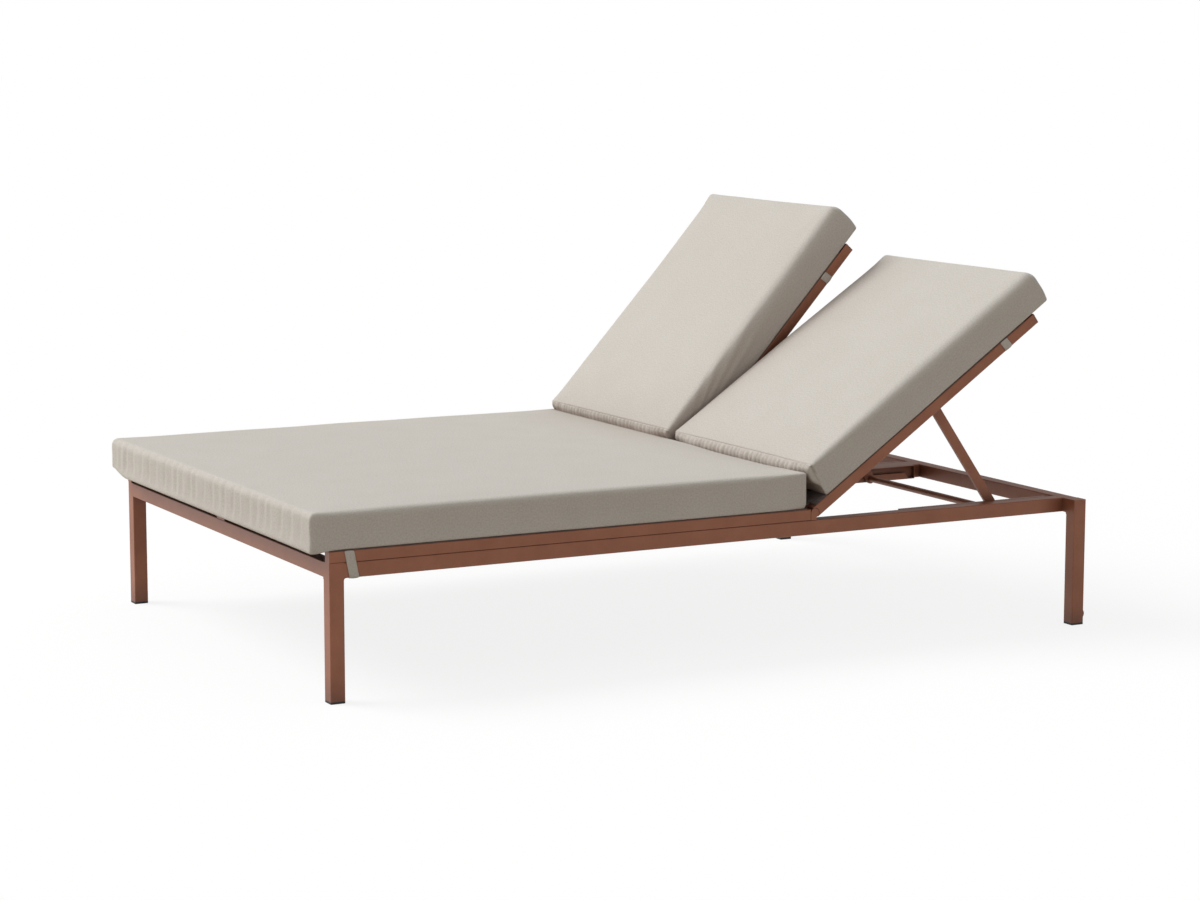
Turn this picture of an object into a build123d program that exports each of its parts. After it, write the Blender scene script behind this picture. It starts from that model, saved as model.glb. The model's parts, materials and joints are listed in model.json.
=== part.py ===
# Double chaise lounger: a square-tube base with a fabric seat, and two backs that recline
# separately, each held up by a stay whose foot stands in a notched rack.
# +Z is up and +Y runs from the foot to the head. Places are first measured from the floor and
# from the front face of the foot legs, and the origin is moved under the middle at the end.
import os
from math import acos, atan2, cos, degrees, hypot, radians, sin

from build123d import *

# Base frame
frame_length = 2000.0
foot_width = 1320.0
head_width = 1420.0
tube_size = 35.0
tube_wall = 2.0
tube_edge = 2.5
weld_radius = 4.0
weld_inset = 1.0
base_top = 314.0
beam_width = 56.0
cross_tube_height = 20.0
head_cross_setback = 60.0

# Rails that hold the fabric, on the seat and in the backs
rail_width = 25.0
rail_height = 26.0
rail_wall = 2.0
rail_edge = 2.0

# Foot caps
cap_height = 5.0
plug_height = 4.0
plug_wall = 2.0
plug_clearance = 0.2

# Transport rollers in the head legs
roller_radius = 15.0
roller_width = 24.0
roller_reach = 5.5
roller_centre_height = 26.0
roller_slot_margin = 1.5
axle_radius = 4.0
axle_cover = 1.0
running_clearance = 0.05

# Recline hinge
hinge_setback = 756.0
hinge_rise = 17.0
block_radius = 11.0
block_foot_reach = 4.0
block_side_clearance = 0.6
block_end_clearance = 1.0
arm_thickness = 5.5
arm_radius = 16.5
arm_length = 85.0
hinge_pin_radius = 5.0
hinge_pin_depth = 20.0
bush_wall = 2.0
pin_head_radius = 8.0
pin_head_height = 3.0
head_clearance = 0.3

# Backs
side_tube_start = 2.0
back_length = 762.0
back_gap = 6.0
lower_cross_place = 25.0
sleeve_slack = 0.3
lower_cross_radius = 10.0
upper_cross_setback = 29.0
end_cap_height = 2.0
end_cap_plug = 10.0

# Stays and racks
stay_pivot_place = 430.0
stay_length = 349.0
stay_leg_width = 25.0
stay_leg_thickness = 8.0
stay_bar_radius = 8.0
stay_bar_wall = 1.5
stay_shoulder_radius = 9.0
rack_depth = 12.0
rack_wall = 2.0
rack_plate = 3.0
rack_clearance = 1.0
tooth_height = 15.0
top_notch_depth = 1.0
notch_clearance = 0.8
ramp_run = 10.0
rack_lead = 60.0
top_notch_setback = 395.4
high_notch_setback = 287.1
middle_notch_setback = 167.4
low_notch_setback = 34.6

# Fabric
sling_thickness = 1.5
sling_inset = 2.0
sling_foot_setback = 6.0
sling_hinge_setback = 10.0
back_sling_start = 13.0
strap_thickness = 1.5
strap_width = 23.0
seat_strap_place = 38.0
seat_strap_slant = 12.0
back_strap_setback = 117.0
back_strap_slant = 3.5

# Cushions
cushion_lift = 0.3
seat_cushion_overhang = 45.0
seat_cushion_setback = 23.0
seat_cushion_height = 82.0
seat_crown = 12.0
back_cushion_overhang = 55.0
back_cushion_height = 88.0
back_crown = 8.0
cushion_start_right = 54.0
cushion_start_left = 66.0
cushion_corner = 12.0
cushion_draw = 4.0
cushion_bend = 13.0
cushion_bulge = 3.0
crown_edge_share = 0.3
crown_shares = (0.75, 0.95, 1.0)
crown_place_shares = (0.75, 0.4, 0.0)

hinge_height = base_top + hinge_rise
hinge_place = frame_length - hinge_setback
side_outer = foot_width / 2
side_inner = side_outer - tube_size
beam_half = beam_width / 2
leg_front_inner = side_outer - tube_size
head_front = frame_length - tube_size
rail_inner = side_outer - rail_width
back_inner_far = back_gap / 2 + rail_width
seat_rail_end = hinge_place - block_radius - block_end_clearance
seat_top = base_top + rail_height
sling_top = seat_top + sling_thickness
tube_half = rail_height / 2
cope_radius = block_radius + block_end_clearance
sleeve_radius = lower_cross_radius + sleeve_slack
lower_cross_rise = tube_half - sleeve_radius
bar_floor = base_top - tube_size + rack_wall
notch_height = bar_floor + stay_bar_radius
rack_face_outer = side_inner - rack_depth
rack_face_inner = beam_half + rack_depth
tooth_top = bar_floor + tooth_height
top_notch = (head_front - top_notch_setback, tooth_top - top_notch_depth + stay_bar_radius)
high_notch = (head_front - high_notch_setback, notch_height)
middle_notch = (head_front - middle_notch_setback, notch_height)
low_notch = (head_front - low_notch_setback, notch_height)
leg_outer_face = rack_face_outer - rack_clearance
leg_inner_face = rack_face_inner + rack_clearance
rear_reach = frame_length + roller_reach
origin_place = (rear_reach - seat_cushion_overhang) / 2


def on_base(shape):
    """A piece measured from the foot legs, moved to the object's own origin."""
    return Pos(0, -origin_place, 0) * shape


def on_back(shape, angle):
    """A piece of a back, drawn lying flat with the hinge axis at its origin, raised by an angle."""
    return on_base(Pos(0, hinge_place, hinge_height) * Rot(angle, 0, 0) * shape)


def recline(notch):
    """Angle of a back whose stay stands in a notch, from the triangle of back, stay and base."""
    along, rise = notch[0] - hinge_place, notch[1] - hinge_height
    reach = hypot(along, rise)
    share = (stay_pivot_place ** 2 + reach ** 2 - stay_length ** 2) / (2 * stay_pivot_place * reach)
    return degrees(acos(share) + atan2(rise, along))


def on_stay(shape, notch):
    """A piece of a stay, drawn from its upper pivot along +Y, turned down to its notch."""
    turn = radians(recline(notch))
    place = hinge_place + stay_pivot_place * cos(turn)
    top = hinge_height + stay_pivot_place * sin(turn)
    lean = degrees(atan2(notch[1] - top, notch[0] - place))
    return on_base(Pos(0, place, top) * Rot(lean, 0, 0) * shape)


def box(x, y, z):
    """A block between two places along each direction."""
    size = (x[1] - x[0], y[1] - y[0], z[1] - z[0])
    middle = ((x[0] + x[1]) / 2, (y[0] + y[1]) / 2, (z[0] + z[1]) / 2)
    return Pos(*middle) * Box(*size)


def tube(plane, width, height, length, wall, edge):
    """A rectangular tube with round edges, open at both ends, along the plane's normal."""
    outer = extrude(plane * RectangleRounded(width, height, edge), length)
    inner = extrude(plane * RectangleRounded(width - 2 * wall, height - 2 * wall, edge / 2), length)
    return outer - inner


def tube_along_y(x, y, z, wall, edge):
    """A tube from one place along Y to another."""
    plane = Plane(origin=((x[0] + x[1]) / 2, y[0], (z[0] + z[1]) / 2), x_dir=(1, 0, 0), z_dir=(0, 1, 0))
    return tube(plane, x[1] - x[0], z[1] - z[0], y[1] - y[0], wall, edge)


def tube_along_x(x, y, z, wall, edge):
    """A tube from one place along X to another."""
    plane = Plane(origin=(x[0], (y[0] + y[1]) / 2, (z[0] + z[1]) / 2), x_dir=(0, 1, 0), z_dir=(1, 0, 0))
    return tube(plane, y[1] - y[0], z[1] - z[0], x[1] - x[0], wall, edge)


def rod(radius, x0, x1, y=0.0, z=0.0):
    """A round bar along X."""
    plane = Plane(origin=(x0, y, z), x_dir=(0, 1, 0), z_dir=(1, 0, 0))
    return extrude(plane * Circle(radius), x1 - x0)


def mirrored(shape):
    """The same piece on the other side of the middle."""
    return mirror(shape, about=Plane.YZ)


def weld(origin, along, across, length):
    """A concave weld under a rail, in the corner that it makes with a leg."""
    ease = weld_radius * (1 - cos(radians(45)))
    edges = [Line((0, 0), (weld_radius, 0)), Line((0, -weld_radius), (0, 0))]
    edges.append(ThreePointArc((weld_radius, 0), (ease, -ease), (0, -weld_radius)))
    return extrude(Plane(origin=origin, x_dir=along, z_dir=across) * make_face(edges), length)


def leg(x, y, corners, rollers):
    """A leg: a square tube with a closed top and a foot end that is open.

    Its corners are square where the rails meet it, and a head leg has a roller slot.
    """
    bottom, top = cap_height, base_top
    plane = Plane(origin=((x[0] + x[1]) / 2, (y[0] + y[1]) / 2, bottom))
    shell = extrude(plane * RectangleRounded(tube_size, tube_size, tube_edge), top - bottom)
    under = top - tube_size
    for place_x, place_y in corners:
        corner_x = sorted((place_x, place_x + (tube_edge if place_x == x[0] else -tube_edge)))
        corner_y = sorted((place_y, place_y + (tube_edge if place_y == y[0] else -tube_edge)))
        shell += box(corner_x, corner_y, (under - weld_radius, top))
    shell += weld((x[0], y[0] + weld_inset, under), (-1, 0, 0), (0, 1, 0), tube_size - 2 * weld_inset)
    if not rollers:
        shell += weld((x[0] + weld_inset, y[1], under), (0, 1, 0), (1, 0, 0), tube_size - 2 * weld_inset)
    bore = tube_size - 2 * tube_wall
    shell -= extrude(plane * RectangleRounded(bore, bore, tube_edge / 2), top - bottom - tube_wall)
    if rollers:
        middle = (x[0] + x[1]) / 2
        half = roller_width / 2 + roller_slot_margin
        reach = roller_radius + roller_slot_margin
        shell -= box((middle - half, middle + half), (y[1] - tube_wall * 2, y[1] + tube_wall),
                     (roller_centre_height - reach, roller_centre_height + reach))
        shell -= rod(axle_radius, x[0], x[1] - axle_cover, roller_y(), roller_centre_height)
    return shell


def roller_y():
    """Place of the roller's axle, so that the roller stands a little out of the leg."""
    return frame_length + roller_reach - roller_radius


def foot_cap(x, y):
    """A cap under a leg, with a plug that goes up into the tube."""
    middle = ((x[0] + x[1]) / 2, (y[0] + y[1]) / 2)
    plate = extrude(Plane.XY * RectangleRounded(tube_size, tube_size, tube_edge), cap_height)
    side = tube_size - 2 * tube_wall - 2 * plug_clearance
    ring = RectangleRounded(side, side, tube_edge / 2)
    ring -= RectangleRounded(side - 2 * plug_wall, side - 2 * plug_wall, tube_edge / 2)
    plug = extrude(Plane(origin=(0, 0, cap_height)) * ring, plug_height)
    return Pos(*middle, 0) * (plate + plug)


def seat_rail(x):
    """A seat rail on top of the base, with its foot end closed."""
    z = (base_top, seat_top)
    shell = tube_along_y(x, (0, seat_rail_end), z, rail_wall, rail_edge)
    inner_x = (x[0] + rail_wall, x[1] - rail_wall)
    return shell + box(inner_x, (0, rail_wall), (z[0] + rail_wall, z[1] - rail_wall))


def hinge_block(x, bores):
    """A block welded on the base, round on top, that holds the hinge pins."""
    side = box(x, (-block_radius, block_foot_reach), (-hinge_rise, 0))
    solid = side + rod(block_radius, x[0], x[1])
    for start, end in bores:
        solid -= rod(hinge_pin_radius, start, end)
    return Pos(0, hinge_place, hinge_height) * solid


def hinge_pin(inboard, into):
    """A pin along X that stands in a block, with a head that keeps the arm on."""
    way = 1 if into > inboard else -1
    head_start = inboard - way * (head_clearance + pin_head_height)
    ends = sorted((head_start + way * pin_head_height, into))
    heads = sorted((head_start, head_start + way * pin_head_height))
    solid = rod(hinge_pin_radius, *ends) + rod(pin_head_radius, *heads)
    return Pos(0, hinge_place, hinge_height) * solid


def rack(wall_x, way):
    """A channel on a rail's inner face, with teeth in its mouth; way points to the mouth."""
    bottom, top = base_top - tube_size, base_top
    deep = [notch[0] for notch in (high_notch, middle_notch, low_notch)]
    half = stay_bar_radius + notch_clearance
    start, end = top_notch[0] - rack_lead, deep[-1] + half + rack_wall
    mouth = wall_x + way * rack_depth
    channel = box(sorted((wall_x, mouth)), (start, end), (bottom, top))
    hollow = sorted((wall_x + way * rack_wall, mouth))
    channel -= box(hollow, (start + rack_wall, end - rack_wall), (bar_floor, top - rack_wall))
    starts = [start + rack_wall] + [place + half for place in deep[:-1]]
    plane = Plane(origin=(mouth, 0, 0), x_dir=(0, 1, 0), z_dir=(1, 0, 0))
    for low, place in zip(starts, deep):
        high = place - half
        points = [(low, bar_floor), (low, tooth_top), (high - ramp_run, tooth_top), (high, bar_floor)]
        channel += extrude(plane * make_face(Polyline(*points, close=True)), -way * rack_plate)
    return channel - rod(stay_bar_radius, *sorted((mouth, mouth - way * rack_plate)), *top_notch)


def side_tube(x):
    """A back's side tube, open at the head end and plugged and hollowed round the hinge block."""
    z = (-tube_half, tube_half)
    shell = tube_along_y(x, (side_tube_start, back_length), z, rail_wall, rail_edge)
    inner_x = (x[0] + rail_wall, x[1] - rail_wall)
    inner_z = (z[0] + rail_wall, z[1] - rail_wall)
    shell += box(inner_x, (side_tube_start, cope_radius + rail_wall), inner_z)
    return shell - rod(cope_radius, *x)


def end_cap(x):
    """A cap with a plug in the head end of a side tube."""
    middle = (x[0] + x[1]) / 2
    plane = Plane(origin=(middle, back_length, 0), x_dir=(1, 0, 0), z_dir=(0, 1, 0))
    plate = extrude(plane * RectangleRounded(rail_width, rail_height, rail_edge), end_cap_height)
    width = rail_width - 2 * rail_wall - 2 * plug_clearance
    height = rail_height - 2 * rail_wall - 2 * plug_clearance
    plug = extrude(plane * RectangleRounded(width, height, rail_edge / 2), -end_cap_plug)
    return plate + plug


def hinge_arm(x):
    """A plate on a side tube's inner face that reaches to the hinge axis, with its bore."""
    solid = box(x, (0, arm_length), (-tube_half, tube_half)) + rod(arm_radius, *x)
    return solid - rod(hinge_pin_radius + bush_wall, *x)


def bush(x):
    """A plain bush that turns on a pin."""
    return rod(hinge_pin_radius + bush_wall, *x) - rod(hinge_pin_radius + running_clearance, *x)


def pivot_pin(face, leg_face, way):
    """A shouldered pin on a side tube's inner face that carries the stay's leg; way points inboard."""
    shoulder_end = leg_face - way * head_clearance
    journal_end = leg_face + way * (stay_leg_thickness + head_clearance)
    head_end = journal_end + way * pin_head_height
    solid = rod(stay_shoulder_radius, *sorted((face, shoulder_end)))
    solid += rod(hinge_pin_radius, *sorted((shoulder_end, journal_end)))
    solid += rod(pin_head_radius, *sorted((journal_end, head_end)))
    return Pos(0, stay_pivot_place, 0) * solid


def stay_leg(x):
    """A flat leg with round ends, bored for its bush at the top."""
    half = stay_leg_width / 2
    solid = box(x, (0, stay_length), (-half, half)) + rod(half, *x) + rod(half, *x, stay_length)
    return solid - rod(hinge_pin_radius + bush_wall, *x) - rod(stay_bar_radius, *x, stay_length)


def stay_bar(x):
    """The tube that joins a stay's legs at the foot and stands in the racks' notches."""
    return rod(stay_bar_radius, *x, stay_length) - rod(stay_bar_radius - stay_bar_wall, *x, stay_length)


def strap(x, y, z, slant):
    """A band round the outside and underside of a tube: down one face, under it and up the other."""
    lean = slant * strap_thickness / (z[1] - z[0])
    outer = [(y[0], z[1]), (y[1], z[1]), (y[1] + slant, z[0]), (y[0] + slant, z[0])]
    plane = Plane(origin=(x[1], 0, 0), x_dir=(0, 1, 0), z_dir=(1, 0, 0))
    face = plane * make_face(Polyline(*outer, close=True))
    band = extrude(face, strap_thickness)
    band += Pos(x[0] - x[1], 0, 0) * extrude(face, -strap_thickness)
    under = [(y[0] + slant, z[0]), (y[1] + slant, z[0]),
             (y[1] + slant + lean, z[0] - strap_thickness), (y[0] + slant + lean, z[0] - strap_thickness)]
    start = Plane(origin=(x[0] - strap_thickness, 0, 0), x_dir=(0, 1, 0), z_dir=(1, 0, 0))
    width = x[1] - x[0] + 2 * strap_thickness
    return band + extrude(start * make_face(Polyline(*under, close=True)), width)


def cushion(x, y, z, crown):
    """A box cushion: its ends draw in between the corners and its top is crowned."""
    middle, half = (x[0] + x[1]) / 2, (x[1] - x[0]) / 2
    shoulder = (half - cushion_corner) / half
    rows = [(1, crown_edge_share, cushion_corner), (shoulder, crown_edge_share, 0)]
    rows += [(place, share, 0) for place, share in zip(crown_place_shares, crown_shares)]
    rows = [(-place, share, trim) for place, share, trim in rows] + rows[-2::-1]
    faces = []
    for place, share, trim in rows:
        draw = cushion_draw * (shoulder * shoulder - place * place) if not trim else trim
        faces.append(cushion_section(middle + place * half, (y[0] + draw, y[1] - draw),
                                     (z[0] + trim / 2, z[1] - trim / 2), crown * share))
    return loft(faces, ruled=True)


def cushion_section(x, y, z, crown):
    """One section across a cushion: a flat bottom, bulged ends, round edges and a top in an arc."""
    bend, inset = cushion_bend, cushion_bend + cushion_bulge
    ease = bend * (1 - cos(radians(45)))
    middle = (z[0] + z[1]) / 2
    edges = [Line((y[1] - inset, z[0]), (y[0] + inset, z[0]))]
    low, high = y[0] + cushion_bulge, y[1] - cushion_bulge
    edges.append(ThreePointArc((low + bend, z[0]), (low + ease, z[0] + ease), (low, z[0] + bend)))
    edges.append(ThreePointArc((low, z[0] + bend), (y[0], middle), (low, z[1] - bend)))
    edges.append(ThreePointArc((low, z[1] - bend), (low + ease, z[1] - ease), (low + bend, z[1])))
    edges.append(ThreePointArc((low + bend, z[1]), ((low + high) / 2, z[1] + crown), (high - bend, z[1])))
    edges.append(ThreePointArc((high - bend, z[1]), (high - ease, z[1] - ease), (high, z[1] - bend)))
    edges.append(ThreePointArc((high, z[1] - bend), (y[1], middle), (high, z[0] + bend)))
    edges.append(ThreePointArc((high, z[0] + bend), (high - ease, z[0] + ease), (high - bend, z[0])))
    plane = Plane(origin=(x, 0, 0), x_dir=(0, 1, 0), z_dir=(1, 0, 0))
    return plane * make_face(edges)


def base_parts():
    """Everything that stays still: the frame, the seat, the hinge blocks and the racks."""
    rail_z = (base_top - tube_size, base_top)
    front_x = (leg_front_inner, side_outer)
    head_x = (head_width / 2 - tube_size, head_width / 2)
    front_corners = [(leg_front_inner, 0), (leg_front_inner, tube_size), (side_outer, tube_size)]
    front_leg = leg(front_x, (0, tube_size), front_corners, False)
    head_corners = [(head_x[0], head_front), (head_x[0], frame_length)]
    head_leg = leg(head_x, (head_front, frame_length), head_corners, True)
    cap_front = foot_cap(front_x, (0, tube_size))
    cap_head = foot_cap(head_x, (head_front, frame_length))
    side_rail = tube_along_y((side_inner, side_outer), (tube_size, head_front), rail_z, tube_wall, tube_edge)
    block_x = (rail_inner + block_side_clearance, side_outer)
    into = block_x[1] - (rail_width - hinge_pin_depth)
    side_block = hinge_block(block_x, [(block_x[0], into)])
    middle_half = beam_half - block_side_clearance
    side_pin = hinge_pin(rail_inner - arm_thickness, into)
    middle_half_pin = hinge_pin(beam_half + arm_thickness, 0)
    sling = box((sling_inset, side_outer - sling_inset), (sling_foot_setback, seat_rail_end - sling_hinge_setback),
                (seat_top, sling_top))
    cross_z = (base_top - cross_tube_height, base_top)
    crosses = []
    for place in (seat_rail_end / 2, hinge_place - head_cross_setback):
        y = (place - tube_size, place)
        crosses.append(tube_along_x((beam_half, side_inner), y, cross_z, tube_wall, tube_edge))
    axle = rod(axle_radius, head_x[0], head_x[1] - axle_cover, roller_y(), roller_centre_height)
    strap_y = (seat_strap_place, seat_strap_place + strap_width)
    seat_strap = strap((side_inner, side_outer), strap_y, (base_top - tube_size, seat_top), seat_strap_slant)
    lift = sling_top + cushion_lift
    seat = cushion((-side_outer, side_outer), (-seat_cushion_overhang, hinge_place - seat_cushion_setback),
                   (lift, lift + seat_cushion_height), seat_crown)
    parts = {
        "front_rail": tube_along_x((-leg_front_inner, leg_front_inner), (0, tube_size), rail_z, tube_wall, tube_edge),
        "head_rail": tube_along_x((-head_x[0], head_x[0]), (head_front, frame_length), rail_z, tube_wall, tube_edge),
        "centre_beam": tube_along_y((-beam_half, beam_half), (tube_size, head_front), rail_z, tube_wall, tube_edge),
        "seat_rail_centre": seat_rail((-rail_width, rail_width)),
        "foot_caps": [cap_front, mirrored(cap_front), cap_head, mirrored(cap_head)],
        "hinge_block_centre": hinge_block((-middle_half, middle_half), [(-middle_half, middle_half)]),
        "hinge_pins": [side_pin, mirrored(side_pin), middle_half_pin + mirrored(middle_half_pin)],
        "cross_tubes_mid": [crosses[0], mirrored(crosses[0])],
        "cross_tubes_head": [crosses[1], mirrored(crosses[1])],
        "roller_axles": [axle, mirrored(axle)],
        "seat_cushion": seat,
    }
    pairs = {
        "leg_foot": front_leg,
        "leg_head": head_leg,
        "side_rail": side_rail,
        "seat_rail": seat_rail(block_x),
        "seat_sling": sling,
        "seat_strap": seat_strap,
        "hinge_block": side_block,
        "rack_outer": rack(side_inner, -1),
        "rack_inner": rack(beam_half, 1),
    }
    for name, shape in pairs.items():
        parts[name + "_right"] = shape
        parts[name + "_left"] = mirrored(shape)
    return {name: placed(shape, on_base) for name, shape in parts.items()}


def placed(shape, place):
    """One solid or a group of solids, moved to its place."""
    if isinstance(shape, list):
        return Compound(children=[place(each) for each in shape])
    return place(shape)


def back_parts(side, notch, cushion_start):
    """One back, drawn on the right-hand side and raised as its stay's notch sets it."""
    angle = recline(notch)
    inner = (back_gap / 2, back_inner_far)
    outer = (rail_inner, side_outer)
    arm_outer = (rail_inner - arm_thickness, rail_inner)
    arm_inner = (back_inner_far, back_inner_far + arm_thickness)
    across = (back_inner_far, rail_inner)
    half_cross = rail_width / 2
    upper_middle = back_length - upper_cross_setback
    upper_y = (upper_middle - half_cross, upper_middle + half_cross)
    between = (arm_inner[1], arm_outer[0])
    lower = rod(lower_cross_radius, *between, lower_cross_place, lower_cross_rise)
    lower -= rod(lower_cross_radius - rail_wall, *between, lower_cross_place, lower_cross_rise)
    strap_start = back_length - back_strap_setback
    strap_y = (strap_start, strap_start + strap_width)
    strap_z = (-tube_half, tube_half)
    sling_x = (back_gap / 2 + sling_inset, side_outer - sling_inset)
    sheet = box(sling_x, (back_sling_start, upper_middle), (tube_half, tube_half + sling_thickness))
    sleeve_x = (between[0] + sleeve_slack, between[1] - sleeve_slack)
    sleeve = rod(sleeve_radius + sling_thickness, *sleeve_x, lower_cross_place, lower_cross_rise)
    sleeve -= rod(sleeve_radius, *sleeve_x, lower_cross_place, lower_cross_rise)
    bottom = tube_half + sling_thickness + cushion_lift
    straps = [strap(across_x, strap_y, strap_z, back_strap_slant) for across_x in (inner, outer)]
    parts = {
        "side_tube_outer": side_tube(outer),
        "side_tube_inner": side_tube(inner),
        "end_caps": [end_cap(outer), end_cap(inner)],
        "lower_cross": lower,
        "upper_cross": tube_along_x(across, upper_y, strap_z, rail_wall, rail_edge),
        "hinge_arms": [hinge_arm(arm_outer), hinge_arm(arm_inner)],
        "hinge_bushes": [bush(arm_outer), bush(arm_inner)],
        "pivot_pins": [pivot_pin(rail_inner, leg_outer_face, -1), pivot_pin(back_inner_far, leg_inner_face, 1)],
        "sling": sheet + sleeve,
        "straps": straps,
        "cushion": cushion((back_gap / 2, side_outer), (cushion_start, back_length + back_cushion_overhang),
                           (bottom, bottom + back_cushion_height), back_crown),
    }
    return finished(parts, "back", side, lambda shape: on_back(shape, angle))


def stay_parts(side, notch):
    """One stay: two legs joined by the foot bar."""
    outer = (leg_outer_face - stay_leg_thickness, leg_outer_face)
    inner = (leg_inner_face, leg_inner_face + stay_leg_thickness)
    parts = {
        "legs": [stay_leg(outer), stay_leg(inner)],
        "foot_bar": stay_bar((inner[0], outer[1])),
        "bushes": [bush(outer), bush(inner)],
    }
    return finished(parts, "stay", side, lambda shape: on_stay(shape, notch))


def finished(parts, group, side, place):
    """Names a side's pieces, and mirrors them for the left-hand side."""
    result = {}
    for name, shape in parts.items():
        shapes = shape if isinstance(shape, list) else [shape]
        if side == "left":
            shapes = [mirrored(each) for each in shapes]
        result[f"{group}_{side}_{name}"] = placed(shapes if len(shapes) > 1 else shapes[0], place)
    return result


def rollers():
    """A roller for each head leg."""
    middle = head_width / 2 - tube_size / 2
    x = (middle - roller_width / 2, middle + roller_width / 2)
    wheel = rod(roller_radius, *x) - rod(axle_radius + running_clearance, *x)
    right = Pos(0, roller_y(), roller_centre_height) * wheel
    return {"roller_right": on_base(right), "roller_left": on_base(mirrored(right))}


os.makedirs("parts", exist_ok=True)
model = base_parts()
model.update(back_parts("right", middle_notch, cushion_start_right))
model.update(back_parts("left", top_notch, cushion_start_left))
model.update(stay_parts("right", middle_notch))
model.update(stay_parts("left", top_notch))
model.update(rollers())
for name, shape in model.items():
    export_step(shape, f"parts/{name}.step")
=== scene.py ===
"""Looks of a double chaise lounger: cushions, slings, tie straps and painted frame, in metres."""

from __future__ import annotations

import json
import logging
import math
from dataclasses import dataclass, field
from enum import Enum

import bpy
import numpy as np
from mathutils import Matrix, Vector
from mathutils.bvhtree import BVHTree

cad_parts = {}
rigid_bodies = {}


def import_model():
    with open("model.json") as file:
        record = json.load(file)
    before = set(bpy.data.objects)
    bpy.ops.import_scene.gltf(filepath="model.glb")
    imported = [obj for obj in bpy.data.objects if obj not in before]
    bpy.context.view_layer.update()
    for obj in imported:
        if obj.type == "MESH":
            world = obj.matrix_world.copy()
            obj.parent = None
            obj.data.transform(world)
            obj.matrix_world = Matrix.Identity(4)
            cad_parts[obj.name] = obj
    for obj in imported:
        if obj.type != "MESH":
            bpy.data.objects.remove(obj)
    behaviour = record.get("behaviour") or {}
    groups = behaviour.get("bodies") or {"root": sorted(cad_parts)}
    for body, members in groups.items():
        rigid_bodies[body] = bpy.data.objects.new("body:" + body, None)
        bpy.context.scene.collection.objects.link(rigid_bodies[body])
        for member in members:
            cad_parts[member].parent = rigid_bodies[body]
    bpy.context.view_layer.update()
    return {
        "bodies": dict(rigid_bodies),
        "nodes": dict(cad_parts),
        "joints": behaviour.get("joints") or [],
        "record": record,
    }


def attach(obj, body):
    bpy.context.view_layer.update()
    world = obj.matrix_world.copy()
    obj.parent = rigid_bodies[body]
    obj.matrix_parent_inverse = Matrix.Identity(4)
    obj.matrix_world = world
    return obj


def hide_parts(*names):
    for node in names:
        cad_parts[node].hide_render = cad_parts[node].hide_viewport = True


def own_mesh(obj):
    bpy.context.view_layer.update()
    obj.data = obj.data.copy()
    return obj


logging.basicConfig(level=logging.INFO, format="%(message)s")
LOG = logging.getLogger("lounger")

Display = tuple[int, int, int]
Span = tuple[float, float]
Spot = tuple[float, float, float]
Points = np.ndarray
Socket = bpy.types.NodeSocket

WHITE = (1.0, 1.0, 1.0, 1.0)
CLEARANCE = 0.0002  # between a thread or tape and what it lies on


class Side(Enum):
    """A side of the lounger, with the sign of its X."""

    RIGHT = 1
    LEFT = -1

    @property
    def word(self) -> str:
        """The side's name as the nodes spell it."""
        return self.name.lower()

    def across(self, inner: float, outer: float) -> Span:
        """Return a span along X on this side, its lower end first."""
        return tuple(sorted((self.value * inner, self.value * outer)))


class Part(Enum):
    """Groups of the frame's own nodes that share a finish."""

    PAINT = "frame_paint"
    PLASTIC = "black_plastic"
    CAP = "brown_plastic"
    STEEL = "steel"
    CLOTH = "cushion_fabric"
    MESH = "sling_fabric"


class Follows(Enum):
    """What a finish's pattern follows: the cloth's flat map or the piece's own axes."""

    CLOTH = "UV"
    PIECE = "Object"


def linear(colour: Display) -> tuple[float, ...]:
    """Turn a display colour, with channels from 0 to 255, into an opaque shader colour.

    Args:
        colour: Red, green and blue.

    Returns:
        The linear colour with an alpha of 1.
    """
    shares = [channel / 255 for channel in colour]
    return (*(s / 12.92 if s <= 0.04045 else ((s + 0.055) / 1.055) ** 2.4 for s in shares), 1.0)


class Nodes:
    """A node tree under construction, with short ways to add and join its nodes."""

    def __init__(self, tree: bpy.types.NodeTree) -> None:
        """Start from a tree."""
        self.tree = tree

    def feed(self, target: Socket, value: object) -> None:
        """Link a socket to an input, or set the input's value.

        Args:
            target: The input.
            value: A socket or a value.
        """
        if isinstance(value, Socket):
            self.tree.links.new(value, target)
        else:
            target.default_value = value

    def set(self, made: bpy.types.Node, **values: object) -> None:
        """Set a node's properties and feed its inputs.

        Args:
            made: The node.
            values: Values or sockets, by property or by input with underscores for spaces.
        """
        for key, value in values.items():
            if hasattr(made, key):
                setattr(made, key, value)
            else:
                self.feed(made.inputs[key.replace("_", " ")], value)

    def node(self, kind: str, **values: object) -> bpy.types.Node:
        """Add a node.

        Args:
            kind: The node's type name.
            values: Its properties and inputs, as in set.

        Returns:
            The new node.
        """
        made = self.tree.nodes.new(kind)
        self.set(made, **values)
        return made

    def math(self, operation: str, *values: Socket | float) -> Socket:
        """Add a math node.

        Args:
            operation: The operation's name.
            values: Its operands, as sockets or numbers.

        Returns:
            The result's socket.
        """
        made = self.node("ShaderNodeMath", operation=operation)
        for target, value in zip(made.inputs, values):
            self.feed(target, value)
        return made.outputs[0]


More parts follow.
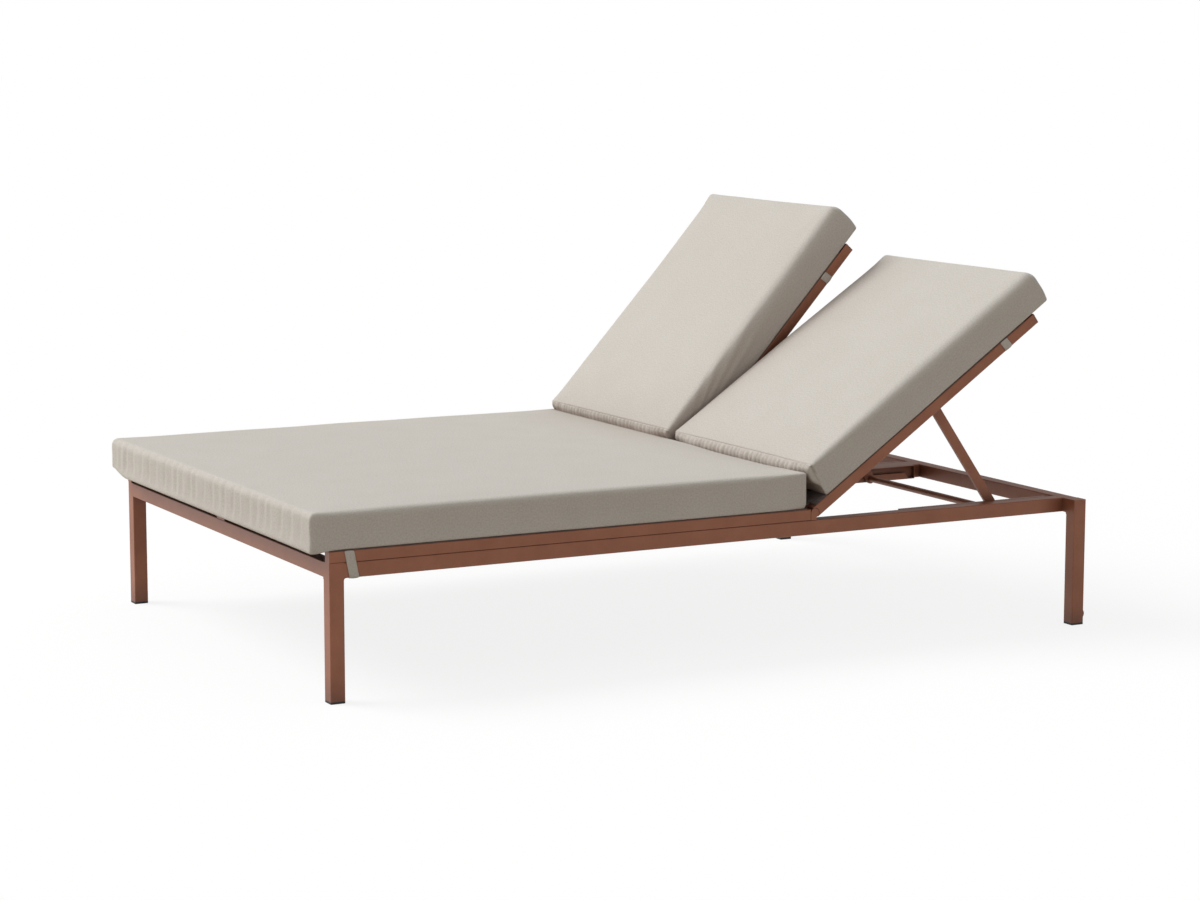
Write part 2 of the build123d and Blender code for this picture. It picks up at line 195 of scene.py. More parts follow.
class Shader(Nodes):
    """A material under construction, with the patterns that the finishes share."""

    def __init__(self, name: str) -> None:
        """Start a material with one principled shader.

        Args:
            name: The material's name.
        """
        self.material = bpy.data.materials.new(name)
        self.material.use_nodes = True
        super().__init__(self.material.node_tree)
        self.surface = self.tree.nodes["Principled BSDF"]
        self.output = self.tree.nodes["Material Output"]

    def place(self, follows: Follows) -> Socket:
        """Return the coordinates that a pattern follows."""
        return self.node("ShaderNodeTexCoord").outputs[follows.value]

    def noise(self, where: Socket, scale: float, detail: float, roughness: float) -> Socket:
        """Add a noise pattern and return its value's socket."""
        made = self.node("ShaderNodeTexNoise", Vector=where, Scale=scale, Detail=detail, Roughness=roughness)
        return made.outputs["Fac"]

    def weave(self, where: Socket, thread: float) -> Socket:
        """Cross two rows of waves.

        Args:
            where: The coordinates.
            thread: From one wave to the next.

        Returns:
            The socket of a pattern from -1 to 1.
        """
        parts = self.node("ShaderNodeSeparateXYZ", Vector=where)
        turns = 2 * math.pi / thread
        return self.math("MULTIPLY", *(self.math("SINE", self.math("MULTIPLY", parts.outputs[axis], turns))
                                       for axis in ("X", "Y")))

    def swing(self, pattern: Socket, strength: float) -> Socket:
        """Centre a pattern on 0 and scale it."""
        return self.math("MULTIPLY", self.math("SUBTRACT", pattern, 0.5), strength)

    def ramp(self, source: Socket, low: Display, high: Display, span: Span = (0.0, 1.0)) -> Socket:
        """Blend two colours by a value.

        Args:
            source: The value's socket.
            low: Colour at the span's start.
            high: Colour at its end.
            span: Values between which the colour changes.

        Returns:
            The colour's socket.
        """
        made = self.node("ShaderNodeValToRGB")
        for element, position, colour in zip(made.color_ramp.elements, span, (low, high)):
            element.position = position
            element.color = linear(colour)
        self.feed(made.inputs[0], source)
        return made.outputs["Color"]

    def mixed(self, share: Socket, first: object, second: object) -> Socket:
        """Mix two shader colours by a share and return the colour's socket."""
        return self.node("ShaderNodeMix", data_type="RGBA", Factor=share, A=first, B=second).outputs["Result"]

    def worn(self, colour: Socket, deep: Display, share: float, reach: float) -> Socket:
        """Deepen a colour in the hollows with painted shade, where ambient occlusion finds nearby surfaces.

        Args:
            colour: The colour's socket.
            deep: Colour of the painted shade in the deepest hollow.
            share: How far the colour goes there.
            reach: How wide a hollow counts.

        Returns:
            The new colour's socket.
        """
        # Painted shade: the colour darkens towards deep where ambient occlusion finds nearby surfaces.
        hollow = self.node("ShaderNodeAmbientOcclusion", samples=8, Distance=reach)
        depth = self.math("MULTIPLY", self.math("SUBTRACT", 1.0, hollow.outputs["AO"]), share)
        return self.mixed(depth, colour, linear(deep))

    def gloss(self, pattern: Socket, roughness: float, swing: float) -> None:
        """Let the surface's roughness swing about its mean with a pattern."""
        self.set(self.surface, Roughness=self.math("MULTIPLY_ADD", pattern, swing, roughness - swing / 2))

    def bump(self, height: Socket, distance: float, strength: float) -> None:
        """Give the surface a fine relief."""
        made = self.node("ShaderNodeBump", Height=height, Distance=distance, Strength=strength)
        self.set(self.surface, Normal=made.outputs["Normal"])


@dataclass(frozen=True)
class Canvas:
    """Greige outdoor canvas: a fine two-tone plain weave with faint slubs, and painted shade that makes it
    darker and warmer in its hollows.
    """

    name: str = "greige_canvas"
    light: Display = (212, 207, 200)
    dark: Display = (196, 190, 180)
    # deep, hollow and reach set the painted shade: its warm brown colour, its share and how wide a hollow
    # counts.
    deep: Display = (112, 66, 34)
    hollow: float = 0.6
    reach: float = 0.30
    thread: float = 0.0011
    weave_tone: float = 0.12
    slub_scale: float = 230.0
    slub_tone: float = 2.8
    slub_relief: float = 1.5
    cloud_scale: float = 9.0
    cloud_tone: float = 0.5
    roughness: float = 0.92
    sheen: float = 0.12
    grain: float = 0.00022

    def material(self) -> bpy.types.Material:
        """Build the finish.

        Returns:
            Its material.
        """
        shader = Shader(self.name)
        where = shader.place(Follows.CLOTH)
        weave = shader.weave(where, self.thread)
        cloud = shader.noise(where, self.cloud_scale, 4.0, 0.6)
        slub = shader.noise(where, self.slub_scale, 2.0, 0.7)
        shade = shader.math("MULTIPLY_ADD", weave, self.weave_tone, 0.5)
        shade = shader.math("ADD", shade, shader.swing(slub, self.slub_tone))
        shade = shader.math("ADD", shade, shader.swing(cloud, self.cloud_tone))
        colour = shader.ramp(shade, self.dark, self.light)
        # Painted shade: the cloth turns darker and warm brown in hollows and between the cushions.
        shader.set(shader.surface, Base_Color=shader.worn(colour, self.deep, self.hollow, self.reach),
                   Roughness=self.roughness, Specular_IOR_Level=0.2, Sheen_Weight=self.sheen,
                   Sheen_Roughness=0.5)
        relief = shader.math("ADD", weave, shader.math("MULTIPLY", slub, self.slub_relief))
        shader.bump(relief, self.grain, 0.5)
        return shader.material


@dataclass(frozen=True)
class PowderCoat:
    """Copper-brown powder coat on metal tube, with a fine grain, a satin gloss and painted shade that darkens
    it in its hollows.
    """

    name: str = "copper_brown_powder_coat"
    light: Display = (163, 104, 76)
    dark: Display = (147, 91, 66)
    # deep, hollow and reach set the painted shade: its dark brown colour, its share and how wide a hollow
    # counts.
    deep: Display = (62, 34, 24)
    hollow: float = 0.95
    reach: float = 0.07
    cloud_scale: float = 14.0
    speck_scale: float = 2600.0
    roughness: float = 0.42
    roughness_swing: float = 0.14
    metallic: float = 0.15
    grain: float = 0.00004

    def material(self) -> bpy.types.Material:
        """Build the finish.

        Returns:
            Its material.
        """
        shader = Shader(self.name)
        where = shader.place(Follows.PIECE)
        cloud = shader.noise(where, self.cloud_scale, 3.0, 0.55)
        speck = shader.noise(where, self.speck_scale, 2.0, 0.5)
        shade = shader.math("ADD", shader.math("MULTIPLY", cloud, 0.6), shader.math("MULTIPLY", speck, 0.4))
        colour = shader.ramp(shade, self.dark, self.light, (0.35, 0.65))
        # Painted shade: the paint turns dark brown in hollows, recesses and joints.
        shader.set(shader.surface, Base_Color=shader.worn(colour, self.deep, self.hollow, self.reach),
                   Metallic=self.metallic)
        shader.gloss(speck, self.roughness, self.roughness_swing)
        shader.bump(speck, self.grain, 0.35)
        return shader.material


@dataclass(frozen=True)
class SlingMesh:
    """Dark brown-grey sling: coated threads in an open basket weave."""

    name: str = "dark_sling_mesh"
    light: Display = (136, 123, 119)
    dark: Display = (82, 73, 71)
    thread: float = 0.0022
    weave_tone: float = 0.35
    cloud_scale: float = 30.0
    roughness: float = 0.7
    grain: float = 0.0004

    def material(self) -> bpy.types.Material:
        """Build the finish.

        Returns:
            Its material.
        """
        shader = Shader(self.name)
        where = shader.place(Follows.CLOTH)
        weave = shader.weave(where, self.thread)
        cloud = shader.noise(where, self.cloud_scale, 3.0, 0.6)
        shade = shader.math("ADD", shader.math("MULTIPLY", weave, self.weave_tone), cloud)
        shader.set(shader.surface, Base_Color=shader.ramp(shade, self.dark, self.light, (0.15, 0.85)),
                   Roughness=self.roughness)
        shader.bump(weave, self.grain, 0.6)
        return shader.material


@dataclass(frozen=True)
class Grained:
    """A plain finish with one fine grain, such as moulded plastic, turned steel or spun thread."""

    name: str
    dark: Display
    light: Display
    scale: float
    rough_noise: float = 0.6
    span: Span = (0.3, 0.7)
    roughness: float = 0.55
    roughness_swing: float = 0.2
    metallic: float = 0.0
    stretch: Spot = (1.0, 1.0, 1.0)
    grain: float = 0.0

    def material(self) -> bpy.types.Material:
        """Build the finish.

        Returns:
            Its material.
        """
        shader = Shader(self.name)
        where = shader.node("ShaderNodeMapping", Vector=shader.place(Follows.PIECE), Scale=self.stretch)
        speck = shader.noise(where.outputs[0], self.scale, 2.0, self.rough_noise)
        shader.set(shader.surface, Base_Color=shader.ramp(speck, self.dark, self.light, self.span),
                   Metallic=self.metallic)
        shader.gloss(speck, self.roughness, self.roughness_swing)
        if self.grain:
            shader.bump(speck, self.grain, 0.5)
        return shader.material


class Palette:
    """The lounger's finishes by the slot that they belong to."""

    def __init__(self) -> None:
        """Build each finish once."""
        plastic = {"scale": 1500.0, "grain": 0.00006}
        steel = {"scale": 900.0, "rough_noise": 0.5, "span": (0.0, 1.0), "roughness": 0.32, "metallic": 1.0,
                 "stretch": (1.0, 0.05, 0.05)}
        spun = {"scale": 2200.0, "span": (0.35, 0.65), "roughness": 0.8, "roughness_swing": 0.0,
                "grain": 0.0001}
        self.finishes = {
            Part.PAINT: PowderCoat().material(),
            Part.PLASTIC: Grained("black_plastic", (26, 25, 25), (40, 39, 39), **plastic).material(),
            Part.CAP: Grained("brown_cap_plastic", (96, 60, 48), (110, 74, 62), **plastic).material(),
            Part.STEEL: Grained("turned_steel", (140, 138, 136), (170, 168, 165), **steel).material(),
            Part.CLOTH: Canvas().material(),
            Part.MESH: SlingMesh().material(),
        }
        self.cover_thread = Grained("greige_thread", (168, 154, 146), (196, 180, 170), **spun).material()
        self.sling_thread = Grained("dark_thread", (72, 63, 61), (84, 74, 72), **spun).material()

    def of(self, part: Part) -> bpy.types.Material:
        """Return a part's material."""
        return self.finishes[part]

    def dress(self, frame: dict) -> None:
        """Give every node of the frame the finish of its slot.
        """
        slots = {row["node"]: Part(row["material_slot"]) for row in frame["record"]["subparts"]}
        for name, piece in frame["nodes"].items():
            piece.data.materials.clear()
            piece.data.materials.append(self.of(slots[name]))
            LOG.info("finish %s on %s", slots[name].value, name)


def add(name: str, data: bpy.types.ID) -> bpy.types.Object:
    """Put a mesh, lamp or camera in the scene.

    Args:
        name: The object's name.
        data: The mesh, lamp or camera.

    Returns:
        The object.
    """
    made = bpy.data.objects.new(name, data)
    bpy.context.scene.collection.objects.link(made)
    return made


@dataclass
class Studio:
    """A white studio: a pale floor, a plain bright world, two soft lamps and a low panel."""

    eye: Spot = (6.6556, -3.49175, 1.5054)
    azimuth: float = math.radians(62.07)
    pitch: float = math.radians(8.26)
    roll: float = math.radians(0.056)
    lens: float = 90.61
    view_end: float = 200.0
    floor_reach: float = 60.0
    floor_glow: float = 0.85
    floor_bounce: tuple[float, ...] = (0.42, 0.36, 0.29, 1.0)
    world_level: float = 0.45
    key_level: float = 2.2
    key_from: Spot = (-0.42, -0.50, 0.76)
    key_spread: float = math.radians(35)
    fill_level: float = 0.2
    fill_from: Spot = (0.1, -1.0, 0.15)
    fill_spread: float = math.radians(90)
    panel_level: float = 3.4
    panel_size: float = 0.7
    panel_from: Spot = (-1.5, -2.25, 0.42)
    panel_aim: Spot = (-0.60, -1.02, 0.38)

    def build(self) -> None:
        """Set up the camera, the floor, the world and the lamps."""
        self._camera()
        self._floor()
        self._world()
        self._lamp("key", "SUN", self.key_from, energy=self.key_level, angle=self.key_spread)
        self._lamp("fill", "SUN", self.fill_from, energy=self.fill_level, angle=self.fill_spread)
        panel = self._lamp("panel", "AREA", self.panel_from, self.panel_aim, energy=self.panel_level,
                           size=self.panel_size)
        panel.visible_camera = False
        bpy.context.scene.view_settings.view_transform = "Standard"

    def _camera(self) -> None:
        """Place the camera as the photograph's."""
        camera = add("camera", bpy.data.cameras.new("camera"))
        camera.data.lens = self.lens
        camera.data.clip_end = self.view_end
        turn = Matrix.Rotation(self.azimuth, 4, "Z") @ Matrix.Rotation(math.pi / 2 - self.pitch, 4, "X")
        camera.matrix_world = Matrix.Translation(self.eye) @ turn @ Matrix.Rotation(self.roll, 4, "Z")
        bpy.context.scene.camera = camera

    def _floor(self) -> None:
        """Lay a floor that looks white to the eye and still shows a soft shadow."""
        mesh = bpy.data.meshes.new("floor")
        reach = self.floor_reach
        corners = [(-reach, -reach, 0), (reach, -reach, 0), (reach, reach, 0), (-reach, reach, 0)]
        mesh.from_pydata(corners, [], [(0, 1, 2, 3)])
        shader = Shader("studio_floor")
        path = shader.node("ShaderNodeLightPath").outputs
        seen = shader.math("MAXIMUM", path["Is Camera Ray"], path["Is Glossy Ray"])
        seen = shader.math("MAXIMUM", seen, path["Is Transmission Ray"])
        diffuse = shader.node("ShaderNodeBsdfDiffuse", Color=shader.mixed(seen, self.floor_bounce, WHITE))
        glow = shader.node("ShaderNodeEmission", Strength=1.0)
        both = shader.node("ShaderNodeMixShader")
        share = shader.math("MULTIPLY", seen, self.floor_glow)
        for target, source in zip(both.inputs, (share, diffuse.outputs[0], glow.outputs[0])):
            shader.feed(target, source)
        shader.set(shader.output, Surface=both.outputs[0])
        mesh.materials.append(shader.material)
        add("floor", mesh)

    def _world(self) -> None:
        """Light from all round at a plain level, behind a white backdrop."""
        world = bpy.data.worlds.new("studio")
        world.use_nodes = True
        nodes = Nodes(world.node_tree)
        path = nodes.node("ShaderNodeLightPath").outputs
        seen = nodes.math("MAXIMUM", path["Is Camera Ray"], path["Is Transmission Ray"])
        level = nodes.node("ShaderNodeMapRange", Value=seen, To_Min=self.world_level, To_Max=1.0)
        nodes.set(nodes.tree.nodes["Background"], Color=WHITE, Strength=level.outputs[0])
        bpy.context.scene.world = world

    @staticmethod
    def _lamp(name: str, kind: str, place: Spot, aim: Spot = (0.0, 0.0, 0.0),
              **values: float) -> bpy.types.Object:
        """Add a lamp.

        Args:
            name: The lamp's name.
            kind: Its type.
            place: Where it shines from.
            aim: Where it shines to.
            values: Its strength and size.

        Returns:
            The lamp.
        """
        data = bpy.data.lights.new(name, kind)
        for key, value in values.items():
            setattr(data, key, value)
        lamp = add(name, data)
        lamp.location = place
        lamp.rotation_euler = (Vector(place) - Vector(aim)).to_track_quat("Z", "Y").to_euler()
        return lamp


def smooth(value: Points | float, start: float, end: float) -> Points | float:
    """Rise smoothly from 0 at start to 1 at end."""
    share = np.clip((value - start) / (end - start), 0.0, 1.0)
    return share * share * (3 - 2 * share)


def mix(first: Points | float, second: Points | float, share: Points | float) -> Points | float:
    """Go from first to second as share goes from 0 to 1."""
    return first + (second - first) * share


def hump(value: Points, centre: Points | float, width: float) -> Points:
    """Rise to 1 at centre and fall off over width on both sides."""
    return np.exp(-(((value - centre) / width) ** 2))


def lines(low: float, high: float, near: tuple[float, ...], inner: float) -> list[float]:
    """Divide a length closely near its ends and evenly between.

    Args:
        low: Where the length starts.
        high: Where it ends.
        near: Distances from each end that get a line, the end itself among them.
        inner: The largest step between.

    Returns:
        The places from low to high.
    """
    start, end = low + near[-1], high - near[-1]
    count = max(1, math.ceil((end - start) / inner))
    middle = [mix(start, end, i / count) for i in range(1, count)]
    return [low + place for place in near] + middle + [high - place for place in reversed(near)]


def measured(path: list[Span], flat: float = 0.0, step: int = 1) -> list[Spot]:
    """Add the flat length so far to the points of a run.

    Args:
        path: The run's points.
        flat: The length at its start.
        step: 1 where the length grows along the run, or -1 where it shrinks.

    Returns:
        The points, each with its length.
    """
    result = [(*path[0], flat)]
    for last, point in zip(path, path[1:]):
        flat += step * math.dist(last, point)
        result.append((*point, flat))
    return result


def read(mesh: bpy.types.Mesh, what: str = "co") -> Points:
    """Read a mesh's points, or its normals.

    Args:
        mesh: The mesh.
        what: "co" for the points, or "normal".

    Returns:
        One row for each point.
    """
    values = np.zeros(len(mesh.vertices) * 3, dtype=np.float32)
    mesh.vertices.foreach_get(what, values)
    return values.reshape(-1, 3).astype(float)


def write(mesh: bpy.types.Mesh, points: Points) -> None:
    """Write a mesh's points back."""
    mesh.vertices.foreach_set("co", points.astype(np.float32).ravel())
    mesh.update()


def apply_modifiers(piece: bpy.types.Object) -> None:
    """Turn a piece's live modifiers into its plain mesh.

    Args:
        piece: The piece.
    """
    bpy.context.view_layer.update()
    evaluated = piece.evaluated_get(bpy.context.evaluated_depsgraph_get())
    baked = bpy.data.meshes.new_from_object(evaluated)
    old = piece.data
    piece.modifiers.clear()
    baked.name = old.name
    piece.data = baked
    bpy.data.meshes.remove(old)


class Patchwork:
    """Quads that share their corners, with a cloth map in metres."""

    def __init__(self) -> None:
        """Start with no quad."""
        self.index: dict[tuple[float, ...], int] = {}
        self.points: list[Spot] = []
        self.faces: list[tuple[int, ...]] = []
        self.maps: list[list[Span]] = []

    def quad(self, corners: list[Spot], flat: list[Span]) -> None:
        """Add a quad, with each new corner once.

        Args:
            corners: Its corners in order.
            flat: Their places on the cloth map.
        """
        face = []
        for point in corners:
            key = tuple(round(value, 6) for value in point)
            if key not in self.index:
                self.index[key] = len(self.points)
                self.points.append(point)
            face.append(self.index[key])
        self.faces.append(tuple(face))
        self.maps.append(flat)

    def mesh(self, name: str, points: Points) -> bpy.types.Mesh:
        """Make a smooth mesh.

        Args:
            name: The mesh's name.
            points: Where its points have moved to.

        Returns:
            The mesh.
        """
        made = bpy.data.meshes.new(name)
        made.from_pydata([tuple(point) for point in points], [], self.faces)
        layer = made.uv_layers.new(name="cloth")
        layer.data.foreach_set("uv", [value for face in self.maps for pair in face for value in pair])
        made.polygons.foreach_set("use_smooth", [True] * len(made.polygons))
        return made


class Box(Patchwork):
    """A closed box of quads."""

    def __init__(self, *places: list[float]) -> None:
        """Build the six faces.

        Args:
            places: Places of the grid lines along X, Y and Z.
        """
        super().__init__()
        self.places = places
        for axis in range(3):
            for end in (0, -1):
                self._side(axis, end)

    def _side(self, axis: int, end: int) -> None:
        """Add one of the six faces.

        Args:
            axis: The axis that the face is square to.
            end: Index of the grid line where it lies, 0 or -1.
        """
        first, second = [other for other in range(3) if other != axis]
        outward = (end == -1) != (axis == 1)
        for i in range(len(self.places[first]) - 1):
            for j in range(len(self.places[second]) - 1):
                corners = []
                for di, dj in ((0, 0), (1, 0), (1, 1), (0, 1)):
                    corner = [self.places[axis][end]] * 3
                    corner[first] = self.places[first][i + di]
                    corner[second] = self.places[second][j + dj]
                    corners.append(tuple(corner))
                if not outward:
                    corners.reverse()
                self.quad(corners, [(corner[first], corner[second]) for corner in corners])


class Cloth(Patchwork):
    """Open pieces of cloth, joined where their points meet."""

    def lay(self, across: list[float], run: list[Spot]) -> None:
        """Lay cloth between lines across and a run along.

        Args:
            across: Places of the lines along X.
            run: Points of the run: Y, Z and the flat length so far.
        """
        for left, right in zip(across, across[1:]):
            for (y0, z0, flat0), (y1, z1, flat1) in zip(run, run[1:]):
                self.quad([(left, y0, z0), (right, y0, z0), (right, y1, z1), (left, y1, z1)],
                          [(left, flat0), (right, flat0), (right, flat1), (left, flat1)])

    def sew(self, name: str, thickness: float, finer: int = 0) -> bpy.types.Object:
        """Give the cloth its thickness.

        Args:
            name: The piece's name.
            thickness: How thick the cloth is.
            finer: Levels of subdivision.

        Returns:
            The piece, with its modifiers applied.
        """
        piece = add(name, self.mesh(name, np.array(self.points)))
        body = piece.modifiers.new("thickness", "SOLIDIFY")
        body.thickness = thickness
        body.offset = 0.0
        if finer:
            surface = piece.modifiers.new("finer", "SUBSURF")
            surface.levels = surface.render_levels = finer
        apply_modifiers(piece)
        return piece


@dataclass
class Thread:
    """Rows of stitches: small capsules laid along seam lines by a Geometry Nodes tree."""

    material: bpy.types.Material
    pitch: float = 0.0045
    stitch: float = 0.0034
    width: float = 0.0008

    def __post_init__(self) -> None:
        """Build the tree."""
        self.group = bpy.data.node_groups.new("stitch_row", "GeometryNodeTree")
        for name, way, kind in (("Seam", "INPUT", "Geometry"), ("Stitch Pitch", "INPUT", "Float"),
                                ("Stitch Length", "INPUT", "Float"), ("Thread Width", "INPUT", "Float"),
                                ("Thread", "INPUT", "Material"), ("Stitches", "OUTPUT", "Geometry")):
            self.group.interface.new_socket(name, in_out=way, socket_type=f"NodeSocket{kind}")
        nodes = Nodes(self.group)
        given = nodes.node("NodeGroupInput").outputs
        curve = nodes.node("GeometryNodeMeshToCurve", Mesh=given["Seam"])
        dots = nodes.node("GeometryNodeCurveToPoints", mode="LENGTH", Curve=curve.outputs["Curve"],
                          Length=given["Stitch Pitch"])
        capsule = nodes.node("GeometryNodeMeshUVSphere", Segments=6, Rings=4, Radius=0.5)
        size = nodes.node("ShaderNodeCombineXYZ", X=given["Thread Width"], Y=given["Thread Width"],
                          Z=given["Stitch Length"])
        laid = nodes.node("GeometryNodeInstanceOnPoints", Points=dots.outputs["Points"],
                          Rotation=dots.outputs["Rotation"], Instance=capsule.outputs["Mesh"],
                          Scale=size.outputs["Vector"])
        real = nodes.node("GeometryNodeRealizeInstances", Geometry=laid.outputs["Instances"])
        dressed = nodes.node("GeometryNodeSetMaterial", Geometry=real.outputs["Geometry"],
                             Material=given["Thread"])
        nodes.node("NodeGroupOutput", Stitches=dressed.outputs["Geometry"])

    def sew(self, name: str, seams: list[Points]) -> bpy.types.Object:
        """Lay stitches along seams.

        Args:
            name: The piece's name.
            seams: The lines that the stitches follow.

        Returns:
            The stitches as one plain mesh.
        """
        edges = []
        start = 0
        for seam in seams:
            edges += [(start + i, start + i + 1) for i in range(len(seam) - 1)]
            start += len(seam)
        mesh = bpy.data.meshes.new(name)
        mesh.from_pydata([tuple(point) for seam in seams for point in seam], edges, [])
        piece = add(name, mesh)
        row = piece.modifiers.new("stitches", "NODES")
        row.node_group = self.group
        values = {"Stitch Pitch": self.pitch, "Stitch Length": self.stitch, "Thread Width": self.width,
                  "Thread": self.material}
        for item in self.group.interface.items_tree:
            if item.name in values:
                row[item.identifier] = values[item.name]
        apply_modifiers(piece)
        LOG.info("stitches %s: %d faces", name, len(piece.data.polygons))
        return piece


@dataclass(frozen=True)
class Datum:
    """A place on a body where a soft piece is drawn flat: turned about X, then moved."""

    body: str
    angle: float
    origin: Spot

    def matrix(self) -> Matrix:
        """Return the turn and the move."""
        return Matrix.Translation(self.origin) @ Matrix.Rotation(self.angle, 4, "X")

    def put(self, points: list[Spot]) -> Points:
        """Return points that are given flat, in their place."""
        turn = self.matrix()
        return np.array([tuple(turn @ Vector(point)) for point in points])


@dataclass
class SoftPiece:
    """A soft piece that is drawn flat at a datum and stands for a node of the frame."""

    name: str
    datum: Datum
    node: str

    def _finish(self, piece: bpy.types.Object, part: Part, material: bpy.types.Material) -> None:
        """Put the drawn piece in its place, dress it, attach it to its body and hide the frame's node that it
        stands for.

        Args:
            piece: The piece, still flat.
            part: The group that its finish belongs to; not used.
            material: Its finish.
        """
        piece.data.transform(self.datum.matrix())
        piece.data.materials.clear()
        piece.data.materials.append(material)
        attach(piece, self.datum.body)
        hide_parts(self.node)


@dataclass(frozen=True)
class Gathers:
    """Upright gathers in the cover's end: soft grooves, each with its own place, depth and lean."""

    start: float
    end: float
    pitch: float
    width: float
    depth: float
    seed: int
    spread: float = 0.15
    foot: float = 0.0
    reach: float = 0.35
    depth_shares: Span = (0.45, 1.0)
    width_shares: Span = (0.8, 1.2)
    lean_share: float = 0.6
    ridge_share: float = 0.4
    ridge_place_share: float = 1.8

    def sink(self, along: Points, up: Points) -> Points:
        """Work out how far each point sinks.

        Args:
            along: Places along the end.
            up: Heights on the end, from 0 at its foot to 1 at its top.

        Returns:
            The depth at each point, negative inwards.
        """
        draw = np.random.default_rng(self.seed)
        result = np.zeros_like(along)
        height = smooth(up, self.foot, self.foot + self.reach)
        place = self.start
        while place < self.end:
            depth = self.depth * draw.uniform(*self.depth_shares)
            width = self.width * draw.uniform(*self.width_shares)
            lean = draw.uniform(-self.lean_share, self.lean_share) * self.width
            centre = place + lean * (up - 0.5)
            result -= depth * hump(along, centre, width) * height
            ridge = centre + self.ridge_place_share * width
            result += self.ridge_share * depth * hump(along, ridge, width) * height
            place += self.pitch * draw.uniform(1 - self.spread, 1 + self.spread)
        return result


@dataclass(frozen=True)
class Edges:
    """Radii of a cushion's edges.

    The top edges along its sides run from foot to head. Each end has the radii along and up of its top
    edge, then those of its bottom edge.
    """

    right: tuple[float, ...]
    left: tuple[float, ...]
    foot: tuple[float, ...]
    head: tuple[float, ...]
    upright: Span = (0.010, 0.006)
    under: float = 0.003
    end_zone: float = 0.045
    place_shares: tuple[float, ...] = (0.0, 0.06, 0.25, 0.6, 0.92, 1.0)

    def radii(self, shares: tuple[Points, Points, Points], end_gap: Points) -> Points:
        """Work out the radii across, along and up by which each point's edge is rounded.

        Args:
            shares: The points' places across, along and up, from -1 to 1.
            end_gap: How far each is from the nearer end.

        Returns:
            One row of three radii for each point.
        """
        across, along, up = shares
        top = smooth(up, -0.4, 0.2)
        low = smooth(-up, 0.3, 0.8)
        at_end = 1 - smooth(end_gap, 0.0, self.end_zone)
        place = (along + 1) / 2
        right, left = (np.interp(place, self.place_shares, side) for side in (self.right, self.left))
        side = np.where(across > 0, right, left)
        ends = [np.where(along > 0, head, foot) for foot, head in zip(self.foot, self.head)]
        upright = np.where(along > 0, self.upright[1], self.upright[0])
        return np.stack([mix(upright, side, top), mix(mix(upright, ends[2], low), ends[0], top),
                         mix(mix(self.under, ends[3], at_end), mix(side, ends[1], at_end), top)], axis=1)


@dataclass(frozen=True)
class Roll:
    """A roll along a cushion's foot, where the foam bulges on to the seat.

    Its height shares are those of its foot, its peak and its top.
    """

    depth: float = 0.0
    height_shares: Spot = (0.35, 0.80, 0.985)
    square: float = 2.0
    end_share: float = 0.55
    zone: float = 0.006
    end_zone: Span = (0.004, 0.10)
    end_corner: Span = (0.0005, 0.0055)

    def reach(self, share: Points, foot_gap: Points, side_gap: Points) -> Points:
        """Work out how far the roll stands out.

        Args:
            share: The points' heights as shares.
            foot_gap: How far each is from the foot.
            side_gap: How far each is from the nearer side.

        Returns:
            The reach at each point.
        """
        low, peak, top = self.height_shares
        fall = np.where(share > peak, (share - peak) / (top - peak), (peak - share) / (peak - low))
        fall = np.clip(fall, 0, 1)
        at_foot = 1 - smooth(foot_gap, 0.0, self.zone)
        belly = mix(self.end_share, 1.0, smooth(side_gap, *self.end_zone))
        belly = belly * smooth(side_gap, *self.end_corner)
        return self.depth * (1 - fall ** self.square) ** (1 / self.square) * at_foot * belly


